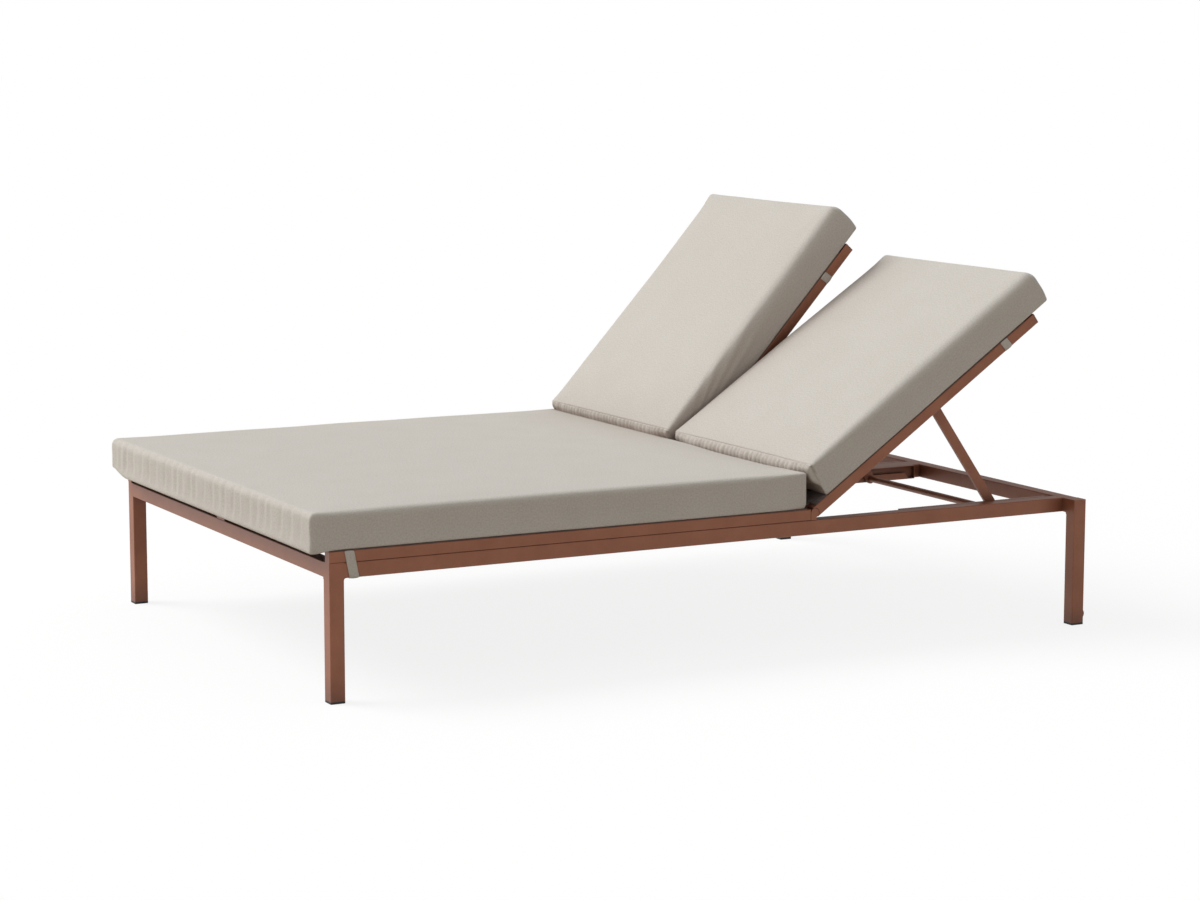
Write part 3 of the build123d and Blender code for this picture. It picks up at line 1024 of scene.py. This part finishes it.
@dataclass
class Cushion(SoftPiece):
    """A box cushion, drawn flat from its foot, as foam in a sewn cover."""

    x: Span
    y: Span
    z: Span
    edges: Edges
    crown: float = 0.008
    side_crown: float = 0.12
    crown_power: float = 2.5
    roll: Roll = Roll()
    press: float = 0.0
    press_span: tuple[float, float, float, float] = (0.06, 0.26, 0.45, 0.65)
    press_end: float = 0.05
    head_rise: float = 0.0
    head_swell: float = 0.0
    head_tuck: float = 0.0
    head_zone: float = 0.06
    swell_shares: Span = (0.6, 0.65)
    draw_in: float = 0.002
    draw_zone: float = 0.05
    corner_lift: float = 0.0
    corner_width: float = 0.105
    corner_length: float = 0.09
    droop: float = 0.0
    droop_zone: Span = (0.015, 0.05)
    cell: Span = (0.012, 0.030)
    near: tuple[float, ...] = (0.0, 0.0015, 0.003, 0.006, 0.010, 0.016, 0.024)
    low_lines: tuple[float, ...] = (0.0, 0.0015, 0.003, 0.008, 0.018)
    high_lines: tuple[float, ...] = (0.036, 0.028, 0.021, 0.015, 0.011, 0.0075, 0.0045, 0.002, 0.0)
    pressure: float = 4.0
    ticks: int = 20
    swell: float = 0.003
    slack: float = 0.012
    gathers: Gathers | None = None
    seam: float = 0.0
    seam_ridge: tuple[float, float, float] = (0.0006, -0.002, 0.0015)
    seam_groove: tuple[float, float, float] = (-0.0012, 0.0, 0.0011)
    lip: tuple[float, float, float] = (0.0016, 0.0035, 0.0028)
    crease_angles: tuple[float, ...] = (0.10, 0.19, 0.30, 0.44)
    crease: float = 0.0018
    crease_width: float = 0.026
    crease_root: Span = (0.02, 0.012)
    crease_start: Span = (0.03, 0.10)
    crease_end: Span = (0.28, 0.46)
    pinch: float = 0.0055
    pinch_heights: tuple[float, float, float, float] = (0.66, 0.76, 0.955, 0.985)
    pinch_slit: Span = (0.001, 0.0028)
    pinch_side: Span = (0.0015, 0.0035)
    top_part: Span = (-0.2, 1.0)
    low_part: Span = (-0.8, 1.0)
    waves: int = 9
    wave_rates: Span = (4.0, 13.0)
    soften: float = 0.0012
    seed: int = 3
    pinched: bool = False
    creased: bool = False
    lipped: bool = False

    def build(self, canvas: bpy.types.Material) -> bpy.types.Object:
        """Build the cushion in its place.

        Args:
            canvas: The cover's finish.

        Returns:
            The finished piece.
        """
        low, high = self.z
        heights = [low + rise for rise in self.low_lines]
        start, end = low + self.low_lines[-1], high - self.high_lines[0]
        heights += [mix(start, end, share) for share in (0.33, 0.67)]
        heights += [high - drop for drop in self.high_lines]
        box = Box(lines(*self.x, self.near, self.cell[0]), lines(*self.y, self.near, self.cell[1]), heights)
        piece = add(self.name, box.mesh(self.name, self._shape(np.array(box.points))))
        self._inflate(piece)
        finer = piece.modifiers.new("finer", "SUBSURF")
        finer.levels = finer.render_levels = 1
        apply_modifiers(piece)
        self._fit(piece.data)
        self._detail(piece.data)
        self._finish(piece, Part.CLOTH, canvas)
        LOG.info("cushion %s: %d points", self.name, len(piece.data.vertices))
        return piece

    def _shares(self, points: Points) -> tuple[Points, Points, Points]:
        """Work out where each point lies in the box.

        Args:
            points: The points.

        Returns:
            Their places across, along and up as shares from -1 to 1.
        """
        across, along, up = ((2 * points[:, axis] - low - high) / (high - low)
                             for axis, (low, high) in enumerate((self.x, self.y, self.z)))
        return across, along, up

    def _shape(self, points: Points) -> Points:
        """Round the box's edges, crown its top and swell its head.

        Args:
            points: The box's grid points.

        Returns:
            The moved points.
        """
        shares = across, along, up = self._shares(points)
        low, high = np.array([self.x, self.y, self.z]).T
        foot_gap, head_gap = points[:, 1] - self.y[0], self.y[1] - points[:, 1]
        radii = self.edges.radii(shares, np.minimum(foot_gap, head_gap))
        inner = np.clip(points, low + radii, high - radii)
        offset = (points - inner) / radii
        result = inner + offset / np.linalg.norm(offset, axis=1)[:, None] * radii
        dome = mix(1 - np.abs(across) ** self.crown_power, 1.0, self.side_crown) * (1 - along ** 2)
        rise = self.crown * dome + self.head_rise * smooth(along, 0.2, 1.0)
        result[:, 2] += rise * smooth(up, *self.top_part)
        share = (up + 1) / 2
        centre, reach = self.swell_shares
        swell = (self.head_swell + self.head_tuck) * (1 - ((share - centre) / reach) ** 2) - self.head_tuck
        result[:, 1] += swell * (1 - smooth(head_gap, 0.0, self.head_zone))
        self._press(points, result, foot_gap, head_gap)
        self._sag(points, result, foot_gap)
        return result

    def _press(self, points: Points, result: Points, foot_gap: Points, head_gap: Points) -> None:
        """Add the foot's roll and the dent under the backs, and draw in the sides and the foot.

        Args:
            points: The box's grid points.
            result: The points to move.
            foot_gap: How far each grid point is from the foot.
            head_gap: How far each is from the head.
        """
        across, along, up = self._shares(points)
        side_gap = np.minimum(points[:, 0] - self.x[0], self.x[1] - points[:, 0])
        result[:, 1] -= self.roll.reach((up + 1) / 2, foot_gap, side_gap)
        start, full, fade, end = self.press_span
        pressed = smooth(points[:, 0], start, full) * (1 - smooth(points[:, 0], fade, end))
        pressed = pressed * smooth(up, *self.top_part)
        result[:, 2] -= self.press * pressed * (1 - smooth(head_gap, 0.0, self.press_end))
        near_side = smooth(np.abs(across), 0.8, 1.0)
        result[:, 0] -= np.sign(across) * near_side * self.draw_in * (1 - along ** 2) * (1 - up * up)
        result[:, 1] += (1 - smooth(foot_gap, 0.0, self.draw_zone)) * self.draw_in * (1 - across ** 4)

    def _sag(self, points: Points, result: Points, foot_gap: Points) -> None:
        """Let the foot's underside droop over the rail, and lift it at the -X corner.

        Args:
            points: The box's grid points.
            result: The points to move.
            foot_gap: How far each grid point is from the foot.
        """
        low_part = smooth(-self._shares(points)[2], *self.low_part)
        result[:, 2] -= self.droop * (1 - smooth(foot_gap, *self.droop_zone)) * low_part
        corner = smooth(-points[:, 0], self.x[1] - self.corner_width, self.x[1])
        over = 1 - smooth(foot_gap, 0.0, self.corner_length)
        result[:, 2] += self.corner_lift * corner * over * low_part

    def _inflate(self, piece: bpy.types.Object) -> None:
        """Let air pressure settle the cover, with its underside held.

        Args:
            piece: The cushion before it is made finer.
        """
        start = read(piece.data)
        held = piece.vertex_groups.new(name="held")
        _, _, up = self._shares(start)
        held.add([int(i) for i in np.nonzero(up < -0.7)[0]], 1.0, "REPLACE")
        cloth = piece.modifiers.new("cloth", "CLOTH")
        cloth.settings.quality = 5
        cloth.settings.use_pressure = True
        cloth.settings.uniform_pressure_force = self.pressure
        cloth.settings.vertex_group_mass = "held"
        cloth.settings.effector_weights.gravity = 0.0
        cloth.collision_settings.use_collision = False
        scene = bpy.context.scene
        for tick in range(1, self.ticks + 1):
            scene.frame_set(tick)
        evaluated = piece.evaluated_get(bpy.context.evaluated_depsgraph_get())
        moved = read(evaluated.data) - start
        piece.modifiers.clear()
        piece.vertex_groups.clear()
        scene.frame_set(1)
        length = np.linalg.norm(moved, axis=1)[:, None]
        LOG.info("cloth %s: moved up to %.1f mm, mean %.2f mm", self.name, 1000 * length.max(),
                 1000 * length.mean())
        write(piece.data, start + moved * self.swell / (length + self.slack))

    def _fit(self, mesh: bpy.types.Mesh) -> None:
        """Bring the swollen cover back to its own width and length.

        Args:
            mesh: The cushion's mesh, still drawn flat.
        """
        points = read(mesh)
        length = (self.y[0] - self.roll.depth, self.y[1] + self.head_swell)
        for axis, (low, high) in enumerate((self.x, length)):
            found = points[:, axis]
            share = (found - found.min()) / (found.max() - found.min())
            points[:, axis] = mix(low, high, share)
        write(mesh, points)

    def _detail(self, mesh: bpy.types.Mesh) -> None:
        """Press in the gathers, the seam and the creases, and let the cover lie a little uneven.

        Args:
            mesh: The cushion's mesh, still drawn flat.
        """
        points = read(mesh)
        normals = read(mesh, "normal")
        _, _, up = self._shares(points)
        height = np.clip((up + 1) / 2, 0.0, 1.0)
        foot_gap = points[:, 1] - self.y[0]
        upward = smooth(normals[:, 2], 0.2, 0.7)
        lift = np.zeros(len(points))
        if self.gathers:
            front = smooth(-normals[:, 1], 0.15, 0.75)
            if self.seam:
                before = 1 - smooth(foot_gap, self.seam - 0.002, self.seam)
                front = before * smooth(-normals[:, 1], 0.1, 0.5)
            lift += self.gathers.sink(points[:, 0], height) * front
        if self.seam:
            relief = np.zeros(len(points))
            for rise, place, width in (self.seam_ridge, self.seam_groove):
                relief += rise * hump(foot_gap, self.seam + place, width)
            lift += relief * upward
        if self.lipped:
            rise, place, width = self.lip
            lift += rise * hump(points[:, 0] - self.x[0], place, width) * upward
        if self.creased:
            lift += self._creases(points, normals, foot_gap)
        lift += self._waves(points) * smooth(up, -0.9, 0.2)
        moved = points + normals * lift[:, None]
        if self.pinched:
            moved[:, 0] += self._pinch(points, height, foot_gap)
        write(mesh, moved)

    def _waves(self, points: Points) -> Points:
        """Return a low unevenness: long waves in all directions.

        Args:
            points: The cushion's points.

        Returns:
            The lift at each point.
        """
        draw = np.random.default_rng(self.seed)
        total = np.zeros(len(points))
        for _ in range(self.waves):
            direction = draw.normal(size=3) * draw.uniform(*self.wave_rates)
            total += np.sin(points @ direction + draw.uniform(0, 2 * math.pi))
        return self.soften * total / self.waves

    def _creases(self, points: Points, normals: Points, foot_gap: Points) -> Points:
        """Return the low creases that fan out over the +X side from its lower corner.

        Args:
            points: The cushion's points.
            normals: Their normals.
            foot_gap: How far each is from the foot.

        Returns:
            The lift at each point.
        """
        rise = points[:, 2] - self.z[0] - self.crease_root[1]
        angle = np.arctan2(rise, foot_gap + self.crease_root[0])
        far = np.hypot(rise, foot_gap)
        begun, left = smooth(far, *self.crease_start), 1 - smooth(far, *self.crease_end)
        lift = np.zeros(len(points))
        for turn in self.crease_angles:
            lift += self.crease * hump(angle, turn, self.crease_width) * begun * left
        return lift * smooth(normals[:, 0], 0.35, 0.8)

    def _pinch(self, points: Points, height: Points, foot_gap: Points) -> Points:
        """Draw in the corner beside the roll, so that the roll's end stands free as a pinched ear.

        Args:
            points: The cushion's points.
            height: Their heights as shares.
            foot_gap: How far each is from the foot.

        Returns:
            How far each point moves across.
        """
        foot, low, high, top = self.pinch_heights
        window = smooth(height, foot, low) * (1 - smooth(height, high, top))
        side_gap = self.x[1] - points[:, 0]
        slit = hump(foot_gap, *self.pinch_slit) * (1 - smooth(side_gap, *self.pinch_side))
        return -self.pinch * window * slit

    def seam_line(self, piece: bpy.types.Object, inset: float = 0.014, step: float = 0.006) -> Points:
        """Find the line of the seam across the finished cover's top.

        Args:
            piece: The finished cushion.
            inset: How far the line stays from the sides.
            step: From one point to the next.

        Returns:
            Points of the line, in its place.
        """
        turn = self.datum.matrix()
        tree = BVHTree.FromPolygons([v.co for v in piece.data.vertices],
                                    [p.vertices for p in piece.data.polygons])
        down = turn.to_3x3() @ Vector((0.0, 0.0, -1.0))
        above = self.z[1] + 0.1
        found = []
        for across in np.arange(self.x[0] + inset, self.x[1] - inset, step):
            start = turn @ Vector((float(across), self.y[0] + self.seam, above))
            hit = tree.ray_cast(start, down)[0]
            found.append(tuple(hit - down * CLEARANCE))
        return np.array(found)


@dataclass(frozen=True)
class Pocket:
    """A pocket in a sling's end, sewn round a cross rod and hemmed to the sheet's underside."""

    x: Span
    centre: Span
    radius: float
    turn: float = math.radians(210)
    hem: float = 0.015
    steps: int = 14

    def run(self, under: float) -> list[Spot]:
        """Follow the pocket from its hem, round the rod and up to the sheet.

        Args:
            under: Height of the hem, just under the sheet.

        Returns:
            Points of the run: Y, Z and the flat length, which ends at the rod's own Y.
        """
        y, z = self.centre
        path = []
        for i in range(self.steps + 1):
            angle = math.pi / 2 + self.turn * i / self.steps
            path.append((y + self.radius * math.cos(angle), z + self.radius * math.sin(angle)))
        last_y, last_z = path[-1]
        rise = (under - last_z) / -math.sin(self.turn)
        slope_end = last_y - math.cos(self.turn) * rise
        path += [(mix(last_y, slope_end, 0.5), mix(last_z, under, 0.5)), (slope_end, under)]
        path += [(slope_end + self.hem * share, under) for share in (0.5, 1.0)]
        return measured(path, y, -1)[::-1]


@dataclass
class Sling(SoftPiece):
    """A stretched mesh sling with a folded hem down each edge."""

    x: Span
    y: Span
    z: float
    pocket: Pocket | None = None
    sag: float = 0.003
    sag_side: Span = (0.03, 0.30)
    sag_end: Span = (0.09, 0.35)
    thickness: float = 0.0012
    hem: float = 0.026
    hem_rise: float = 0.00035
    hem_step: float = 0.001
    edge_lines: Spot = (0.0, 0.002, 0.013)
    pocket_drop_share: float = 1.3
    row_inset: float = 0.002
    row_step: float = 0.02
    cell: float = 0.022

    def build(self, mesh: bpy.types.Material) -> bpy.types.Object:
        """Build the sling in its place.

        Args:
            mesh: The sling's finish.

        Returns:
            The finished piece.
        """
        near = (*self.edge_lines, self.hem - self.hem_step, self.hem)
        across = lines(*self.x, near, self.cell)
        start = run_start = self.y[0]
        width, area = self.x[1] - self.x[0], 0.0
        sheet = Cloth()
        if self.pocket:
            start = self.pocket.centre[0]
            across = sorted(across + list(self.pocket.x))
            inside = [place for place in across if self.pocket.x[0] <= place <= self.pocket.x[1]]
            run = self._pocket_run()
            run_start = run[0][2]
            sheet.lay(inside, run)
            area += (inside[-1] - inside[0]) * (run[-1][2] - run_start)
            for strip in ([p for p in across if p <= inside[0]], [p for p in across if p >= inside[-1]]):
                sheet.lay(strip, [(place, self.z, place) for place in (self.y[0], start)])
                area += (strip[-1] - strip[0]) * (start - self.y[0])
        sheet.lay(across, [(place, self.z, place) for place in lines(start, self.y[1], near, self.cell)])
        area += width * (self.y[1] - start)
        piece = sheet.sew(self.name, self.thickness)
        self._settle(piece.data)
        self._finish(piece, Part.MESH, mesh)
        return piece

    def _pocket_run(self) -> list[Spot]:
        """Return the run of the pocket, hemmed just under the sheet."""
        return self.pocket.run(self.z - self.pocket_drop_share * self.thickness)

    def _settle(self, mesh: bpy.types.Mesh) -> None:
        """Let the sheet sag between its rails and thicken its hems.

        Args:
            mesh: The sling's mesh, still drawn flat.
        """
        points = read(mesh)
        normals = read(mesh, "normal")
        edge = np.minimum(points[:, 0] - self.x[0], self.x[1] - points[:, 0])
        end = np.minimum(points[:, 1] - self.y[0], self.y[1] - points[:, 1])
        sheet = points[:, 2] > self.z - self.thickness
        thick = sheet & (edge < self.hem - self.hem_step / 2) & (np.abs(normals[:, 2]) > 0.9)
        points += normals * (self.hem_rise * thick)[:, None]
        points[:, 2] -= self.sag * (smooth(edge, *self.sag_side) * smooth(end, *self.sag_end)) * sheet
        write(mesh, points)

    def hem_lines(self, start: float, end: float) -> list[Points]:
        """Return the hem's stitch rows on the underside.

        Args:
            start: Where the rows start along Y.
            end: Where they end.

        Returns:
            Points of each row, in its place.
        """
        under = self.z - self.thickness / 2 - self.hem_rise - CLEARANCE
        rows = [[(x, y, under) for y in np.arange(start, end, self.row_step)]
                for x in (self.x[0] + self.hem - self.row_inset, self.x[1] - self.hem + self.row_inset)]
        if self.pocket:
            y, z, _ = self._pocket_run()[1]
            below = z - self.thickness / 2 - CLEARANCE
            first = self.pocket.x[0] + 2 * self.row_inset
            rows.append([(x, y, below) for x in np.arange(first, self.pocket.x[1], self.row_step)])
        return [self.datum.put(row) for row in rows]


@dataclass
class TieStrap(SoftPiece):
    """A canvas tape folded round the underside of a tube, which ties a cushion down."""

    x: Span
    z: Span
    start: float
    slant: float
    width: float = 0.023
    thickness: float = 0.0012
    fold: float = 0.005
    fold_steps: int = 4
    belly: float = 0.0012
    stitch_inset: float = 0.0025
    line_shares: tuple[float, ...] = (0.0, 0.04, 0.13, 0.16, 0.3, 0.5, 0.7, 0.84, 0.87, 0.96, 1.0)

    def build(self, canvas: bpy.types.Material) -> bpy.types.Object:
        """Build the strap in its place.

        Args:
            canvas: The tape's finish.

        Returns:
            The finished piece.
        """
        run = self._run(0.0)
        tape = Cloth()
        tape.lay([self.width * share for share in self.line_shares], run)
        tape.points = [self._turn(point) for point in tape.points]
        piece = tape.sew(self.name, self.thickness, finer=1)
        points = read(piece.data)
        across = points[:, 1] - self.start - self._lean(points[:, 2])
        middle = 1 - (2 * across / self.width - 1) ** 2
        write(piece.data, points + read(piece.data, "normal") * (self.belly * middle)[:, None])
        self._finish(piece, Part.CLOTH, canvas)
        return piece

    def _run(self, proud: float) -> list[Spot]:
        """Follow the tape down one side of the tube, under it and up the other side.

        Args:
            proud: How far the line stands out from the tape's middle.

        Returns:
            Points of the run: X, Z and the length so far.
        """
        out = self.thickness / 2 + CLEARANCE + proud
        left, right, low = self.x[0] - out, self.x[1] + out, self.z[0] - out
        fold = self.fold + proud
        path = [(right, mix(self.z[1], low + fold, share)) for share in np.linspace(0, 1, 6)]
        for centre, first in ((right - fold, 0.0), (left + fold, math.pi / 2)):
            for step in range(1, self.fold_steps + 1):
                angle = first + math.pi / 2 / self.fold_steps * step
                path.append((centre + fold * math.cos(angle), low + fold - fold * math.sin(angle)))
            if not first:
                path += [(mix(right - fold, left + fold, share), low) for share in (0.25, 0.5, 0.75, 1.0)]
        path += [(left, mix(low + fold, self.z[1], share)) for share in np.linspace(0.2, 1, 5)]
        return measured(path)

    def _lean(self, height: Points | float) -> Points | float:
        """Return how far the tape has slanted along the tube at a height."""
        return self.slant * (self.z[1] - height) / (self.z[1] - self.z[0])

    def _turn(self, point: Spot) -> Spot:
        """Put a point of the tape, given across, X and Z, in its place on the tube."""
        across, x, z = point
        return x, self.start + across + self._lean(z), z

    def stitch_lines(self) -> list[Points]:
        """Find the stitch rows along the tape's two edges.

        Returns:
            Points of each row, in its place.
        """
        run = self._run(self.thickness / 2 + CLEARANCE)[1:-1]
        return [self.datum.put([self._turn((across, x, z)) for x, z, _ in run])
                for across in (self.stitch_inset, self.width - self.stitch_inset)]


@dataclass(frozen=True)
class BackShape:
    """What differs between the two backs: the lean at rest, and how the cushion lies and wears."""

    angle: float
    start: float
    roll: Roll
    left_edge: tuple[float, ...]
    head_rise: float
    head_swell: float
    head_tuck: float

    @property
    def turn(self) -> float:
        """The lean in radians."""
        return math.radians(self.angle)


NEAR_BACK = BackShape(angle=34.6087, start=0.0525, head_rise=0.002, head_swell=0.006, head_tuck=0.004,
                      roll=Roll(0.0225, (0.35, 0.68, 0.985), 1.8),
                      left_edge=(0.006, 0.007, 0.010, 0.016, 0.030, 0.022))
FAR_BACK = BackShape(angle=47.8911, start=0.066, head_rise=0.006, head_swell=0.005, head_tuck=0.006,
                     roll=Roll(0.0195, (0.35, 0.64, 0.985), 1.7),
                     left_edge=(0.013, 0.016, 0.022, 0.030, 0.034, 0.018))


@dataclass
class Lounger:
    """The lounger's soft pieces, placed from the frame's own sizes."""

    palette: Palette
    backs: dict[Side, BackShape] = field(
        default_factory=lambda: {Side.RIGHT: NEAR_BACK, Side.LEFT: FAR_BACK})
    hinge: Span = (0.26375, 0.331)
    foot: float = -0.98025
    half: float = 0.660
    middle_gap: float = 0.003
    rail: float = 0.035
    tube: float = 0.025
    seat_length: Span = (-0.045, 1.221)
    seat_cushion: Span = (0.3418, 0.4290)
    seat_edge: tuple[float, ...] = (0.008, 0.017, 0.017, 0.017, 0.014, 0.005)
    seat_sling: float = 0.34075
    seat_sling_length: Span = (0.006, 1.222)
    seat_hem_rows: Span = (0.045, 1.215)
    seat_strap: Span = (0.279, 0.3398)
    seat_strap_start: float = 0.0355
    seat_strap_slant: float = 0.012
    sling_inset: float = 0.002
    back_end: float = 0.817
    back_cushion: Span = (0.0148, 0.1028)
    back_edge: tuple[float, ...] = (0.011, 0.013, 0.022, 0.029, 0.026, 0.018)
    back_sling: float = 0.01375
    back_sling_start: float = 0.005
    back_sling_length: Span = (0.013, 0.733)
    back_hem_rows: Span = (0.09, 0.712)
    back_strap_start: float = 0.645
    back_strap_slant: float = 0.0035
    strap_slack: float = 0.0003
    rod: Span = (0.025, 0.0027)
    rod_length: Span = (0.0338, 0.6292)
    give: float = 0.966

    def build(self) -> None:
        """Build every soft piece and the threads that sew them."""
        canvas, mesh = self.palette.of(Part.CLOTH), self.palette.of(Part.MESH)
        cover_seams = {}
        strap_seams = {"base": self._seat(canvas)}
        sling_seams = {"base": self._seat_slings(mesh)}
        for side in Side:
            body = f"back_{side.word}"
            cover_seams[body], strap_seams[body] = self._back(side, canvas)
            sling_seams[body] = self._back_sling(side, mesh)
        cover_thread, sling_thread = Thread(self.palette.cover_thread), Thread(self.palette.sling_thread)
        covers = self._thread(Part.CLOTH, cover_thread, cover_seams, "cover_stitches")
        self._give(covers["back_right"])
        self._thread(Part.CLOTH, cover_thread, strap_seams, "strap_stitches")
        self._thread(Part.MESH, sling_thread, sling_seams, "sling_stitches")

    @staticmethod
    def _thread(part: Part, thread: Thread, seams: dict[str, list[Points]],
                word: str) -> dict[str, bpy.types.Object]:
        """Sew the seams of each body as one piece.

        Args:
            part: The slot that the thread takes its finish from; not used.
            thread: The thread.
            seams: The seam lines on each body.
            word: What the pieces are called.

        Returns:
            The piece on each body.
        """
        made = {}
        for body, rows in seams.items():
            made[body] = piece = thread.sew(f"{word}_{body}", rows)
            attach(piece, body)
        return made

    def _seat_datum(self) -> Datum:
        """Return the seat's place: flat, from the front face of the foot legs."""
        return Datum("base", 0.0, (0.0, self.foot, 0.0))

    def _back_datum(self, side: Side) -> Datum:
        """Return a back's place: turned about the hinge."""
        return Datum(f"back_{side.word}", self.backs[side].turn, (0.0, *self.hinge))

    def _seat(self, canvas: bpy.types.Material) -> list[Points]:
        """Build the seat's cushion and its tie straps.

        Args:
            canvas: The cover's finish.

        Returns:
            The seam lines.
        """
        datum = self._seat_datum()
        edges = Edges(right=self.seat_edge, left=self.seat_edge, foot=(0.016, 0.018, 0.010, 0.006),
                      head=(0.005, 0.004, 0.008, 0.026))
        gathers = Gathers(start=-0.625, end=0.64, pitch=0.052, width=0.0095, depth=0.0032, seed=11,
                          spread=0.35)
        Cushion("seat_cushion_cover", datum, "seat_cushion", (-self.half, self.half), self.seat_length,
                self.seat_cushion, edges, corner_lift=0.0175, droop=0.0055, press=0.004,
                gathers=gathers).build(canvas)
        seams = []
        for side in Side:
            strap = TieStrap(f"seat_tie_strap_{side.word}", datum, f"seat_strap_{side.word}",
                             side.across(self.half - self.rail, self.half), self.seat_strap,
                             self.seat_strap_start, self.seat_strap_slant)
            strap.build(canvas)
            seams += strap.stitch_lines()
        return seams

    def _seat_slings(self, mesh: bpy.types.Material) -> list[Points]:
        """Build the seat's two slings.

        Args:
            mesh: The sling's finish.

        Returns:
            The stitch rows of their hems.
        """
        rows = []
        for side in Side:
            sling = Sling(f"seat_sling_cloth_{side.word}", self._seat_datum(), f"seat_sling_{side.word}",
                          side.across(self.sling_inset, self.half - self.sling_inset),
                          self.seat_sling_length, self.seat_sling)
            sling.build(mesh)
            rows += sling.hem_lines(*self.seat_hem_rows)
        return rows

    def _back(self, side: Side, canvas: bpy.types.Material) -> tuple[list[Points], list[Points]]:
        """Build one back's cushion and tie straps.

        Args:
            side: The back's side.
            canvas: The cover's finish.

        Returns:
            The lines of the cover's seam, then those of the straps.
        """
        shape, datum = self.backs[side], self._back_datum(side)
        near = side is Side.RIGHT
        across = side.across(self.middle_gap, self.half)
        edges = Edges(right=self.back_edge, left=shape.left_edge, foot=(0.006, 0.004, 0.004, 0.004),
                      head=(0.014, 0.028, 0.004, 0.004), upright=(0.003, 0.008))
        gathers = Gathers(start=across[0] + 0.008, end=across[1] - 0.010, pitch=0.018, width=0.0048,
                          depth=0.0042, seed=21 + side.value, spread=0.3, foot=0.25)
        cushion = Cushion(f"back_cushion_cover_{side.word}", datum, f"back_{side.word}_cushion", across,
                          (shape.start, self.back_end), self.back_cushion, edges, side_crown=0.3,
                          roll=shape.roll, head_rise=shape.head_rise, head_swell=shape.head_swell,
                          head_tuck=shape.head_tuck, cell=(0.0052, 0.026),
                          near=(0.0, 0.0015, 0.003, 0.006, 0.010, 0.016, 0.024, 0.034), gathers=gathers,
                          seam=0.0025, seed=5 + side.value, pinched=near, creased=not near, lipped=near)
        piece = cushion.build(canvas)
        seams, rows = [cushion.seam_line(piece)], []
        if near:
            self._give(piece)
        wraps = {"inner": side.across(self.middle_gap, self.middle_gap + self.tube),
                 "outer": side.across(self.half - self.tube, self.half)}
        for word, tube in wraps.items():
            strap = TieStrap(f"back_tie_strap_{side.word}_{word}", datum, f"back_{side.word}_straps", tube,
                             (-self.tube / 2, self.tube / 2 + self.strap_slack), self.back_strap_start,
                             self.back_strap_slant)
            strap.build(canvas)
            rows += strap.stitch_lines()
        return seams, rows

    def _give(self, piece: bpy.types.Object) -> None:
        """Give the near back's cushion, or its stitches, its own copy of the mesh.

        Args:
            piece: The cushion's cover, or its stitches.
        """
        head = self._back_datum(Side.RIGHT).matrix() @ Vector((self.half / 2, self.back_end, 0.0))
        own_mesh(piece)

    def _back_sling(self, side: Side, mesh: bpy.types.Material) -> list[Points]:
        """Build one back's sling, with its pocket round the lower cross rod.

        Args:
            side: The back's side.
            mesh: The sling's finish.

        Returns:
            The stitch rows of its hems.
        """
        pocket = Pocket(side.across(*self.rod_length), self.rod, self.back_sling - self.rod[1])
        sling = Sling(f"back_sling_cloth_{side.word}", self._back_datum(side), f"back_{side.word}_sling",
                      side.across(self.back_sling_start, self.half - self.sling_inset),
                      self.back_sling_length, self.back_sling, pocket)
        sling.build(mesh)
        return sling.hem_lines(*self.back_hem_rows)


def main() -> None:
    """Build the lounger's looks round its frame."""
    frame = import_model()
    Studio().build()
    palette = Palette()
    palette.dress(frame)
    Lounger(palette).build()


if __name__ == "__main__":
    main()
